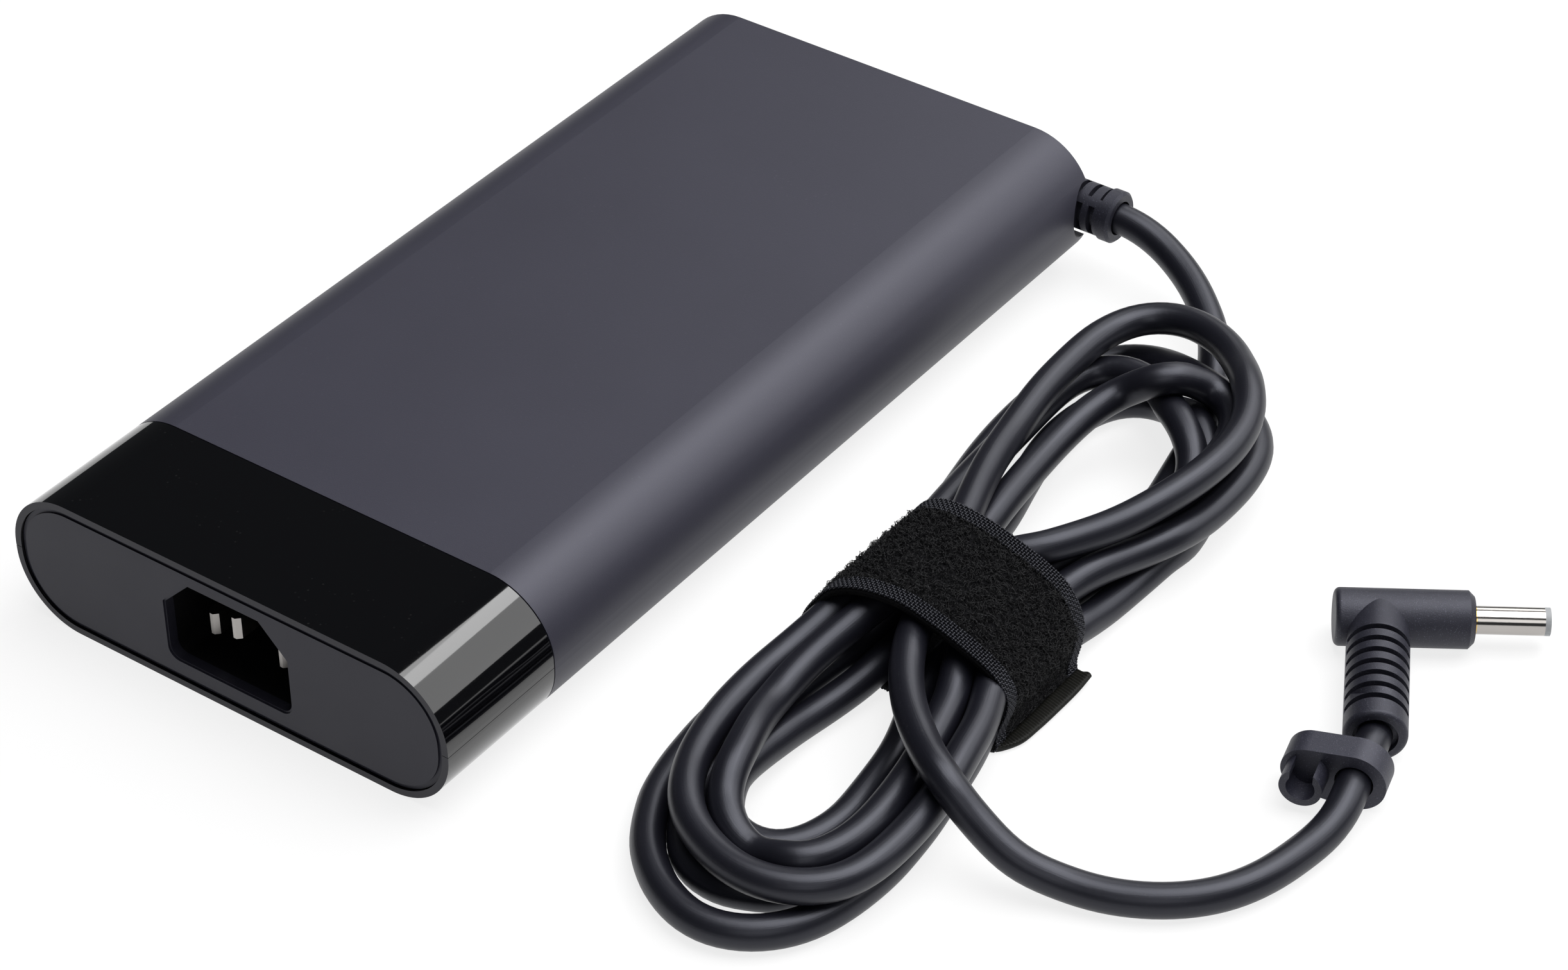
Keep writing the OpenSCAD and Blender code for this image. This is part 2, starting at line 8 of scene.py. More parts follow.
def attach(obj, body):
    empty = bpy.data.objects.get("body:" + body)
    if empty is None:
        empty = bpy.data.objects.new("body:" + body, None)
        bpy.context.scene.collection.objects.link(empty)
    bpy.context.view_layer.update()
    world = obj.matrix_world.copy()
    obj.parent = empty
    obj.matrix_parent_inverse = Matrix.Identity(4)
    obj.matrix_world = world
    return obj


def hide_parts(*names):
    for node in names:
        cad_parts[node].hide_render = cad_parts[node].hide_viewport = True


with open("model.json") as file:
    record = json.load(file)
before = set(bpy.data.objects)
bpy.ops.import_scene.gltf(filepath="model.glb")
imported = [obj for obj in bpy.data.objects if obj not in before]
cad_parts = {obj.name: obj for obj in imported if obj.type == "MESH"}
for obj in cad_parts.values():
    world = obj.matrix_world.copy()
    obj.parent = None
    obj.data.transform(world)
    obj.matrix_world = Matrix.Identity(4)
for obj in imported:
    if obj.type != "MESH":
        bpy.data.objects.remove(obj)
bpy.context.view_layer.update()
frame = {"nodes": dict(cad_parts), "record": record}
nodes = frame["nodes"]
mm = 0.001
print("frame loaded:", len(nodes), "nodes")


# Camera

cameraView = {
    "target": (36.52, 6.88, 0.0),  # point on the floor that it looks at, mm
    "distance": 684.8,
    "azimuth": 35.78,
    "elevation": 37.75,
    "roll": -0.27,
    "lens": 94.8,
    "sensor": 36.0,
    "clip": (0.01, 20.0),  # metres
}


def cameraAxes(view):
    # right, up and forward unit vectors from azimuth, elevation and roll
    az, el, roll = (math.radians(view[k]) for k in ("azimuth", "elevation", "roll"))
    forward = np.array([-math.sin(az) * math.cos(el), math.cos(az) * math.cos(el), -math.sin(el)])
    level = np.array([math.cos(az), math.sin(az), 0.0])
    above = np.cross(level, forward)
    right = math.cos(roll) * level + math.sin(roll) * above
    return right, np.cross(right, forward), forward


def placeCamera(view):
    # the eye stands at the target minus forward times the distance
    right, up, forward = cameraAxes(view)
    place = np.array(view["target"]) - forward * view["distance"]
    data = bpy.data.cameras.new("camera")
    data.lens = view["lens"]
    data.sensor_width = view["sensor"]
    data.clip_start, data.clip_end = view["clip"]
    camera = bpy.data.objects.new("camera", data)
    turn = Matrix([list(row) for row in np.array([right, up, -forward]).T]).to_4x4()
    camera.matrix_world = Matrix.Translation(place * mm) @ turn
    bpy.context.scene.collection.objects.link(camera)
    bpy.context.scene.camera = camera
    return place


eyePlace = placeCamera(cameraView)
print("camera placed")


# Mesh helpers

def meshFromGrid(name, points, aroundClosed, alongClosed=False, capEnds=False, uv=None):
    # points is rows x columns x 3 in mm. Row i, column j joins its next row and next column
    rows, columns = points.shape[:2]
    index = np.arange(rows * columns).reshape(rows, columns)
    nextRow = np.roll(index, -1, 0) if alongClosed else index[1:]
    base = index if alongClosed else index[:-1]
    nextCol = np.roll(base, -1, 1) if aroundClosed else base[:, 1:]
    nextBoth = np.roll(nextRow, -1, 1) if aroundClosed else nextRow[:, 1:]
    if not aroundClosed:
        base, nextRow = base[:, :-1], nextRow[:, :-1]
    quads = np.stack([base, nextCol, nextBoth, nextRow], -1).reshape(-1, 4)
    faces = quads.tolist()
    if capEnds:
        faces += [index[0, ::-1].tolist(), index[-1].tolist()]
    mesh = bpy.data.meshes.new(name)
    mesh.from_pydata((points.reshape(-1, 3) * mm).tolist(), [], faces)
    mesh.polygons.foreach_set("use_smooth", np.ones(len(mesh.polygons), bool))
    if uv is not None:
        writeUv(mesh, uv.reshape(-1, 2))
    mesh.update()
    return mesh


def writeUv(mesh, perVertex):
    # UV of each face corner is that of its vertex
    corner = np.zeros(len(mesh.loops), np.int32)
    mesh.loops.foreach_get("vertex_index", corner)
    layer = mesh.uv_layers.new(name="UVMap")
    layer.data.foreach_set("uv", perVertex[corner].astype(np.float32).ravel())


def addPiece(name, mesh, body, material, replaced=()):
    # one mesh as a piece that rides a body, with its material, and the CAD nodes it replaces hidden
    piece = bpy.data.objects.new(name, mesh)
    bpy.context.scene.collection.objects.link(piece)
    mesh.materials.append(material)
    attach(piece, body)
    if replaced:
        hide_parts(*replaced)
    return piece


def unit(v):
    # each vector divided by its own length
    return v / np.linalg.norm(v, axis=-1, keepdims=True)


def lengthAlong(p):
    # distance of each point from the first: the running sum of the steps between them
    return np.r_[0, np.cumsum(np.linalg.norm(np.diff(p, axis=0), axis=1))]


def evenSteps(p, step):
    # the same line with points a step apart
    s = lengthAlong(p)
    t = np.linspace(0, s[-1], int(round(s[-1] / step)) + 1)
    return np.stack([np.interp(t, s, p[:, k]) for k in range(p.shape[1])], 1)


def smoothLine(p, times):
    # each point moves to half itself and a quarter of each neighbour; the ends stay
    p = p.copy()
    for _ in range(times):
        p[1:-1] = p[1:-1] * 0.5 + (p[:-2] + p[2:]) * 0.25
    return p


def throughPoints(stations, step=0.7, closed=False):
    # centripetal Catmull-Rom curve: knots grow with the square root of the distance between points
    p = np.asarray(stations, float)
    if closed:
        p = np.vstack([p[-1], p, p[:2]])
    else:
        p = np.vstack([2 * p[0] - p[1], p, 2 * p[-1] - p[-2]])
    pieces = []
    for p0, p1, p2, p3 in zip(p[:-3], p[1:-2], p[2:-1], p[3:]):
        gaps = [max(np.linalg.norm(b - a), 1e-6) ** 0.5 for a, b in ((p0, p1), (p1, p2), (p2, p3))]
        t0, t1, t2, t3 = np.r_[0, np.cumsum(gaps)]
        count = max(int(np.linalg.norm(p2 - p1) / step), 2)
        u = np.linspace(t1, t2, count, endpoint=False)[:, None]
        a1 = ((t1 - u) * p0 + (u - t0) * p1) / (t1 - t0)
        a2 = ((t2 - u) * p1 + (u - t1) * p2) / (t2 - t1)
        a3 = ((t3 - u) * p2 + (u - t2) * p3) / (t3 - t2)
        b1 = ((t2 - u) * a1 + (u - t0) * a2) / (t2 - t0)
        b2 = ((t3 - u) * a2 + (u - t1) * a3) / (t3 - t1)
        pieces.append(((t2 - u) * b1 + (u - t1) * b2) / (t2 - t1))
    if not closed:
        pieces.append(p[-2][None])
    return np.vstack(pieces)


# Shader groups and materials

def newGroup(name, inputs, outputs):
    # an empty shader group. Each input row is a label, a kind and a default value
    group = bpy.data.node_groups.new(name, "ShaderNodeTree")
    for label, kind, value in inputs:
        socket = group.interface.new_socket(label, in_out="INPUT", socket_type=kind)
        if value is not None:
            socket.default_value = value
    for label, kind in outputs:
        group.interface.new_socket(label, in_out="OUTPUT", socket_type=kind)
    return group, group.nodes.new("NodeGroupInput"), group.nodes.new("NodeGroupOutput")


def node(tree, kind, values=None, **props):
    # one node with its properties and the fixed values of its sockets
    made = tree.nodes.new(kind)
    for key, value in props.items():
        setattr(made, key, value)
    for key, value in (values or {}).items():
        made.inputs[key].default_value = value
    return made


def mathNode(tree, operation, a, b=0.0, clamp=False):
    # one Math node: a and b are numbers or sockets
    made = node(tree, "ShaderNodeMath", operation=operation, use_clamp=clamp)
    for k, value in enumerate((a, b)):
        if isinstance(value, (int, float)):
            made.inputs[k].default_value = value
        else:
            tree.links.new(value, made.inputs[k])
    return made.outputs[0]


def buildGrainGroup():
    # moulded grain: a fine noise for height, a broad one for tone and gloss
    group, source, sink = newGroup(
        "mouldGrain",
        [("Vector", "NodeSocketVector", None), ("Grain Scale", "NodeSocketFloat", 4000.0),
         ("Patch Scale", "NodeSocketFloat", 60.0), ("Stretch", "NodeSocketVector", (1, 1, 1))],
        [("Height", "NodeSocketFloat"), ("Patch", "NodeSocketFloat"), ("Speck", "NodeSocketFloat")])
    link = group.links.new
    stretched = node(group, "ShaderNodeVectorMath", operation="MULTIPLY")
    link(source.outputs["Vector"], stretched.inputs[0])
    link(source.outputs["Stretch"], stretched.inputs[1])
    fine = node(group, "ShaderNodeTexNoise", {"Detail": 2.0, "Roughness": 0.6})
    broad = node(group, "ShaderNodeTexNoise", {"Detail": 3.0, "Roughness": 0.55})
    link(stretched.outputs[0], fine.inputs["Vector"])
    link(source.outputs["Grain Scale"], fine.inputs["Scale"])
    link(source.outputs["Vector"], broad.inputs["Vector"])
    link(source.outputs["Patch Scale"], broad.inputs["Scale"])
    speck = node(group, "ShaderNodeMapRange", {"From Min": 0.6, "From Max": 0.74},
                 interpolation_type="SMOOTHSTEP")
    link(fine.outputs["Fac"], speck.inputs["Value"])
    link(fine.outputs["Fac"], sink.inputs["Height"])
    link(broad.outputs["Fac"], sink.inputs["Patch"])
    link(speck.outputs["Result"], sink.inputs["Speck"])
    return group


def buildDustGroup():
    # dust: scattered round specks in patches, thicker on faces that look up
    group, source, sink = newGroup(
        "fineDust",
        [("Vector", "NodeSocketVector", None), ("Speck Scale", "NodeSocketFloat", 700.0),
         ("Amount", "NodeSocketFloat", 0.3)],
        [("Mask", "NodeSocketFloat")])
    link = group.links.new
    cells = node(group, "ShaderNodeTexVoronoi", {"Randomness": 1.0}, feature="F1")
    link(source.outputs["Vector"], cells.inputs["Vector"])
    link(source.outputs["Speck Scale"], cells.inputs["Scale"])
    patches = node(group, "ShaderNodeTexNoise", {"Scale": 90.0, "Detail": 2.0})
    link(source.outputs["Vector"], patches.inputs["Vector"])
    dot = node(group, "ShaderNodeMapRange", {"From Min": 0.16, "From Max": 0.05})
    link(cells.outputs["Distance"], dot.inputs["Value"])
    where = node(group, "ShaderNodeMapRange", {"From Min": 0.5, "From Max": 0.7})
    link(patches.outputs["Fac"], where.inputs["Value"])
    normal = node(group, "ShaderNodeNewGeometry")
    parts = node(group, "ShaderNodeSeparateXYZ")
    link(normal.outputs["Normal"], parts.inputs[0])
    facing = mathNode(group, "MAXIMUM", parts.outputs["Z"], 0.15)
    upward = mathNode(group, "MULTIPLY", facing, dot.outputs["Result"])
    placed = mathNode(group, "MULTIPLY", upward, where.outputs["Result"])
    link(mathNode(group, "MULTIPLY", placed, source.outputs["Amount"], clamp=True), sink.inputs["Mask"])
    return group


grainGroup = buildGrainGroup()
dustGroup = buildDustGroup()


def useGroup(tree, group, vector, values):
    # a shared group in this tree, fed with a vector and with fixed values
    made = tree.nodes.new("ShaderNodeGroup")
    made.node_tree = group
    for key, value in values.items():
        made.inputs[key].default_value = value
    tree.links.new(vector, made.inputs["Vector"])
    return made


def mixColour(tree, factor, a, b):
    # a times 1 - factor, plus b times factor. Sockets 6 and 7 take the colours, output 2 gives the mix
    made = node(tree, "ShaderNodeMix", data_type="RGBA")
    tree.links.new(factor, made.inputs["Factor"])
    for socket, value in ((made.inputs[6], a), (made.inputs[7], b)):
        if isinstance(value, tuple):
            socket.default_value = (*value, 1.0)
        else:
            tree.links.new(value, socket)
    return made.outputs[2]


def surface(name, look):
    # look: colour and deepColour mix by patches; rough swings by roughSwing; bump in mm from the grain
    material = bpy.data.materials.new(name)
    material.use_nodes = True
    tree = material.node_tree
    shader = tree.nodes["Principled BSDF"]
    place = node(tree, "ShaderNodeTexCoord").outputs["Object"]
    grain = useGroup(tree, grainGroup, place, {
        "Grain Scale": look.get("grain", 4000.0), "Patch Scale": look.get("patch", 60.0),
        "Stretch": look.get("stretch", (1, 1, 1))})
    colour = mixColour(tree, grain.outputs["Patch"], look["colour"], look.get("deepColour", look["colour"]))
    if "speckColour" in look:
        colour = mixColour(tree, grain.outputs["Speck"], colour, look["speckColour"])
    if "dust" in look:
        dust = useGroup(tree, dustGroup, place, {"Amount": look["dust"]})
        colour = mixColour(tree, dust.outputs["Mask"], colour, (0.5, 0.5, 0.5))
    tree.links.new(colour, shader.inputs["Base Color"])
    offMiddle = mathNode(tree, "SUBTRACT", grain.outputs["Patch"], 0.5)
    swing = mathNode(tree, "MULTIPLY", offMiddle, look.get("roughSwing", 0.1))
    tree.links.new(mathNode(tree, "ADD", swing, look["rough"], clamp=True), shader.inputs["Roughness"])
    bump = node(tree, "ShaderNodeBump", {"Distance": look.get("bump", 0.02) * mm, "Strength": 1.0})
    tree.links.new(grain.outputs["Height"], bump.inputs["Height"])
    tree.links.new(bump.outputs["Normal"], shader.inputs["Normal"])
    for key, value in look.get("shader", {}).items():
        shader.inputs[key].default_value = value
    return material, tree, shader, place, bump


# finishes by the record's material slot; colours are linear
finishes = {
    "housing": {"colour": (0.027, 0.0265, 0.037), "deepColour": (0.031, 0.0305, 0.043), "rough": 0.45,
                "bump": 0.012, "grain": 6000.0, "patch": 35.0, "roughSwing": 0.05, "dust": 0.03,
                "speckColour": (0.04, 0.0395, 0.055),
                "shader": {"Specular IOR Level": 0.42, "Specular Tint": (0.88, 0.88, 1.0, 1.0)}},
    "end_trim": {"colour": (0.0015, 0.0015, 0.002), "rough": 0.06, "roughSwing": 0.05, "bump": 0.0015,
                 "grain": 300.0, "patch": 45.0, "dust": 0.02,
                 "shader": {"Coat Weight": 0.3, "Coat Roughness": 0.03}},
    "faceplate": {"colour": (0.014, 0.0138, 0.021), "deepColour": (0.012, 0.0118, 0.018), "rough": 0.42,
                  "bump": 0.012, "grain": 6000.0, "patch": 70.0, "dust": 0.03,
                  "shader": {"Specular IOR Level": 0.26, "Specular Tint": (0.88, 0.88, 1.0, 1.0)}},
    "socket": {"colour": (0.002, 0.002, 0.0025), "rough": 0.6, "bump": 0.03, "grain": 1800.0,
               "shader": {"Specular IOR Level": 0.15}},
    "contact": {"colour": (0.42, 0.4, 0.385), "deepColour": (0.32, 0.305, 0.29), "rough": 0.3, "bump": 0.004,
                "grain": 900.0, "stretch": (1, 0.08, 1), "shader": {"Metallic": 1.0}},
    "spreader": {"colour": (0.7, 0.71, 0.73), "deepColour": (0.6, 0.61, 0.63), "rough": 0.35, "bump": 0.01,
                 "grain": 1200.0, "stretch": (1, 0.04, 1), "shader": {"Metallic": 1.0}},
    "insulation": {"colour": (0.72, 0.68, 0.56), "deepColour": (0.64, 0.6, 0.48), "rough": 0.7,
                   "grain": 1500.0},
    "board": {"colour": (0.02, 0.13, 0.045), "deepColour": (0.03, 0.17, 0.06), "rough": 0.3, "patch": 220.0},
    "fuse": {"colour": (0.62, 0.64, 0.66), "deepColour": (0.5, 0.52, 0.54), "rough": 0.15, "patch": 300.0},
    "film_capacitor": {"colour": (0.62, 0.43, 0.07), "deepColour": (0.54, 0.36, 0.05), "rough": 0.35},
    "toroid": {"colour": (0.03, 0.15, 0.1), "deepColour": (0.02, 0.11, 0.08), "rough": 0.5, "grain": 900.0},
    "copper": {"colour": (0.6, 0.25, 0.1), "deepColour": (0.5, 0.18, 0.07), "rough": 0.25,
               "shader": {"Metallic": 1.0, "Coat Weight": 0.5}},
    "package": {"colour": (0.018, 0.018, 0.02), "rough": 0.6, "grain": 2200.0},
    "winding_tape": {"colour": (0.6, 0.4, 0.08), "deepColour": (0.5, 0.32, 0.06), "rough": 0.28,
                     "patch": 120.0},
    "capacitor_can": {"colour": (0.014, 0.03, 0.08), "deepColour": (0.02, 0.04, 0.1), "rough": 0.3},
    "heatsink": {"colour": (0.56, 0.58, 0.6), "deepColour": (0.5, 0.52, 0.54), "rough": 0.4, "grain": 1000.0,
                 "stretch": (1, 1, 0.05), "shader": {"Metallic": 1.0}},
    "ferrite": {"colour": (0.045, 0.045, 0.048), "deepColour": (0.06, 0.06, 0.062), "rough": 0.55,
                "grain": 1600.0},
    "light_package": {"colour": (0.74, 0.73, 0.69), "deepColour": (0.68, 0.67, 0.62), "rough": 0.5},
    "wire": {"colour": (0.34, 0.025, 0.018), "deepColour": (0.26, 0.02, 0.015), "rough": 0.4},
    "boot": {"colour": (0.01, 0.01, 0.016), "deepColour": (0.013, 0.013, 0.02), "rough": 0.48, "bump": 0.035,
             "grain": 6000.0, "patch": 150.0, "speckColour": (0.09, 0.09, 0.12), "dust": 0.04,
             "shader": {"Specular Tint": (0.86, 0.87, 1.0, 1.0)}},
    "clip": {"colour": (0.013, 0.013, 0.021), "deepColour": (0.016, 0.016, 0.025), "rough": 0.46,
             "bump": 0.035, "grain": 6000.0, "patch": 150.0, "speckColour": (0.09, 0.09, 0.12), "dust": 0.04,
             "shader": {"Specular Tint": (0.86, 0.87, 1.0, 1.0)}},
    "barrel": {"colour": (0.46, 0.44, 0.42), "deepColour": (0.4, 0.38, 0.36), "rough": 0.15, "bump": 0.002,
               "grain": 1400.0, "shader": {"Metallic": 1.0}},
    "lining": {"colour": (0.3, 0.31, 0.32), "deepColour": (0.26, 0.27, 0.28), "rough": 0.5},
    "pin_brass": {"colour": (0.7, 0.5, 0.18), "deepColour": (0.62, 0.43, 0.14), "rough": 0.25,
                  "shader": {"Metallic": 1.0}},
}


satinRim = {
    "glossAt": -0.86,  # y of the object normal up to which the trim stays glossy
    "satinAt": -0.94,  # and past which it is satin
    "satinLevel": 0.26,
    "glossExtra": 0.24,
}


def satinFront(material, look):
    # the trim's front rim is satin like the inlet face: the mask goes from 0 to 1 between glossAt and
    # satinAt, and the specular level is satinLevel plus glossExtra times 1 - mask
    tree = material.node_tree
    shader = tree.nodes["Principled BSDF"]
    parts = node(tree, "ShaderNodeSeparateXYZ")
    tree.links.new(node(tree, "ShaderNodeTexCoord").outputs["Normal"], parts.inputs[0])
    span = {"From Min": satinRim["glossAt"], "From Max": satinRim["satinAt"]}
    front = node(tree, "ShaderNodeMapRange", span)
    tree.links.new(parts.outputs["Y"], front.inputs["Value"])
    mask = front.outputs["Result"]
    colour = mixColour(tree, mask, shader.inputs["Base Color"].links[0].from_socket, look["colour"])
    tree.links.new(colour, shader.inputs["Base Color"])
    satin = mathNode(tree, "MULTIPLY", mask, look["rough"])
    tree.links.new(mathNode(tree, "MAXIMUM", shader.inputs["Roughness"].links[0].from_socket, satin),
                   shader.inputs["Roughness"])
    gloss = mathNode(tree, "SUBTRACT", 1.0, mask)
    tree.links.new(mathNode(tree, "MULTIPLY", gloss, shader.inputs["Coat Weight"].default_value),
                   shader.inputs["Coat Weight"])
    extra = mathNode(tree, "MULTIPLY", gloss, satinRim["glossExtra"])
    tree.links.new(mathNode(tree, "ADD", extra, satinRim["satinLevel"]), shader.inputs["Specular IOR Level"])


plugLook = {
    "root": (0.1488, 0.03616, 0.005),  # where the barrel leaves the head, metres
    "axis": (0.83867, 0.544639, 0.0),
    "ringFar": 0.00035,
    "gilt": (0.72, 0.5, 0.16),
}


def giltRoot(material, plan):
    # a thin gilt ring at the barrel's root: mask = 1 where (place - root) . axis is under ringFar
    tree = material.node_tree
    shader = tree.nodes["Principled BSDF"]
    place = node(tree, "ShaderNodeTexCoord").outputs["Object"]
    off = node(tree, "ShaderNodeVectorMath", {1: plan["root"]}, operation="SUBTRACT")
    tree.links.new(place, off.inputs[0])
    along = node(tree, "ShaderNodeVectorMath", {1: plan["axis"]}, operation="DOT_PRODUCT")
    tree.links.new(off.outputs[0], along.inputs[0])
    mask = mathNode(tree, "LESS_THAN", along.outputs["Value"], plan["ringFar"])
    gilt = mixColour(tree, mask, shader.inputs["Base Color"].links[0].from_socket, plan["gilt"])
    tree.links.new(gilt, shader.inputs["Base Color"])


def dressNodes():
    # each CAD node gets the finish of its material slot in the record
    made = {name: surface(name, look)[0] for name, look in finishes.items()}
    giltRoot(made["barrel"], plugLook)
    satinFront(made["end_trim"], finishes["faceplate"])
    for part in frame["record"]["subparts"]:
        name, slot = part["node"], part["material_slot"]
        if slot in made:
            mesh = nodes[name].data
            mesh.materials.clear()
            mesh.materials.append(made[slot])
    return made


madeFinishes = dressNodes()
print("finishes made:", len(madeFinishes))


# Output cord

cordPlan = {  # lengths in mm
    "diameter": 5.5,
    "sides": 24,
    "step": 1.5,
    "rounds": 400,
    "floorClearance": 2.75,
    "strapClearance": 4.15,
    "hold": 0.2,
    "holdUnderStrap": 0.06,
    "holdAlongView": 0.01,
    "stiffness": 0.4,
    "smoothBefore": 3,
    "smoothAfter": 2,
    "heldStart": 40,  # these lengths at the two ends stay on their stations
    "heldEnd": 75,
    "neighbours": 9,  # points nearer than this along the cord never push each other
    "pairReach": 2.5,  # pairs are listed up to a diameter and this apart
    "listEvery": 8,
    "pushes": 4,
    "overPush": 1.5,
    "strappedX": (60, 105),
    "strapMargin": 0.5,
    "looseFrom": 1.5,  # inside the strap's near and far edges by these, strands are held loosely
    "looseTo": 1,
    "lidLean": 1.2,
}

# Stations that the cord runs through, mm. The lead and the tail lie free; between them each lobe is one run,
# from the strap round its end and back. Heights count strands: 2.75 on the floor, 8.25 on one, 14 on two.
leadRun = [
    (48.7, 89.4, 13), (51.5, 89.4, 13), (54.5, 89.4, 12.4), (58, 89, 11.5), (62, 87.6, 10.5),
    (66, 85.6, 9.6), (70, 82.9, 8.7), (73.5, 80, 7.7), (77, 76.6, 6.7), (80, 72, 5.4), (83, 66, 3.8),
]
leadIntoStrap = [
    (86.3, 60, 2.9), (87.3, 55, 2.75), (88.7, 49, 2.75), (90.3, 41, 2.75), (91.5, 35, 2.75),
    (91.3, 28, 2.75), (89.4, 20, 2.75), (87.6, 11, 2.9), (86.5, 1, 3.6), (86.2, -12, 4.2),
]
tailOutOfStrap = [
    (82.3, -14, 13.6), (83.2, -22, 13.6), (85, -27.3, 13.4), (87, -31.3, 13.3), (89.7, -35.6, 13.3),
    (93, -39.7, 13.3),
]
tailRun = [
    (98.7, -45.1, 13.3), (106.3, -50.3, 12.8), (113.4, -52.3, 9.8), (120.8, -52.6, 5.8), (127.2, -50.4, 3.4),
    (133.7, -48.5, 2.75), (141.3, -44.6, 2.75), (147.1, -39, 2.75), (150.7, -32.1, 2.75), (152.6, -24, 2.75),
    (153.5, -18, 3), (153.5, -13, 4.1), (152.7, -9.6, 4.9), (151.8, -6, 5), (150.9, -2.4, 5),
    (149.9, 2.7, 5), (149.5, 3.5, 5),
]
nearLobes = {
    "O1": [
        (97.3, -24, 4.2), (99, -30, 3), (101.2, -39.4, 2.75), (102.8, -47.6, 2.75), (103.9, -54.5, 2.75),
        (104.6, -61.5, 2.75), (104.2, -68.5, 2.75), (103.2, -74.3, 2.75), (101.3, -79.3, 2.75),
        (98, -83.5, 2.75), (93.5, -86.4, 2.75), (88.5, -87.4, 2.75), (83.5, -86.3, 2.75), (78, -83.4, 2.75),
        (74.2, -79.8, 2.75), (70.7, -74.3, 2.75), (68, -67.4, 2.75), (66.2, -59, 2.75), (64.9, -50, 2.75),
        (64.4, -40, 2.75), (65.2, -31, 3.4), (66.8, -23, 4.2),
    ],
    "O2": [
        (91.8, -24, 4.2), (94.7, -32, 3.2), (97.3, -42, 2.75), (98.7, -52, 2.75), (99, -62, 2.75),
        (97.3, -71, 2.75), (94.2, -75.5, 2.75), (89.4, -79, 2.75), (84.6, -79.5, 2.75), (80.3, -78.1, 2.75),
        (76.4, -75, 2.75), (73.3, -70, 2.75), (71.3, -62, 2.75), (69.9, -52, 2.75), (69.9, -42, 2.75),
        (71, -32, 3.3), (72.6, -23, 4.2),
    ],
    "R1": [
        (86.3, -24, 4.2), (88.8, -32, 3.2), (91.6, -38.6, 2.75), (92.8, -44.8, 2.75), (93.4, -50, 2.75),
        (93.6, -55, 2.75), (92.9, -61, 2.75), (91, -66.1, 2.75), (88, -68.8, 2.75), (84, -69.5, 2.75),
        (79.5, -67.6, 2.75), (75.6, -63.3, 2.75), (73.6, -57, 2.75), (74.7, -47.1, 2.75), (76.3, -38, 2.75),
        (77.8, -28.5, 3.3), (78.2, -23, 4.2),
    ],
    "S1": [
        (95.8, -20, 9.4), (97.6, -24.5, 8.7), (99.9, -28.8, 8), (101.4, -33, 7.9), (102.9, -39.5, 8.1),
        (104.7, -47, 8.2), (105.8, -55, 8.25), (106.1, -62.4, 8.25), (105.6, -68.9, 8.25),
        (103.7, -74.1, 8.25), (100.9, -76.9, 8.25), (96.4, -79.3, 8.25), (90.9, -80, 8.25),
        (85.1, -78.7, 8.25), (79.4, -75.8, 8.25), (75.2, -72.2, 8.25), (71.4, -66, 8.1), (68.9, -59, 7.8),
        (67.2, -50, 7.5), (66.9, -41, 7.6), (67.9, -33, 8.6), (69.3, -25, 10.4),
    ],
    "S2": [
        (90.4, -20, 9.7), (92.1, -24.5, 9), (94, -28.7, 8.5), (95.6, -33.5, 8.3), (97.4, -40, 8.3),
        (99.2, -48, 8.25), (100.2, -55, 8.25), (100.6, -62, 8.25), (99.3, -67, 7.4), (95.5, -70.9, 5.6),
        (90, -72.6, 4.6), (85.1, -72, 5), (81.1, -70, 6.6), (77.2, -64.5, 7.5), (74.6, -57, 7.5),
        (72.6, -48.6, 7.6), (71.8, -40, 8.4), (72.8, -32, 10), (75, -24, 12.4),
    ],
}
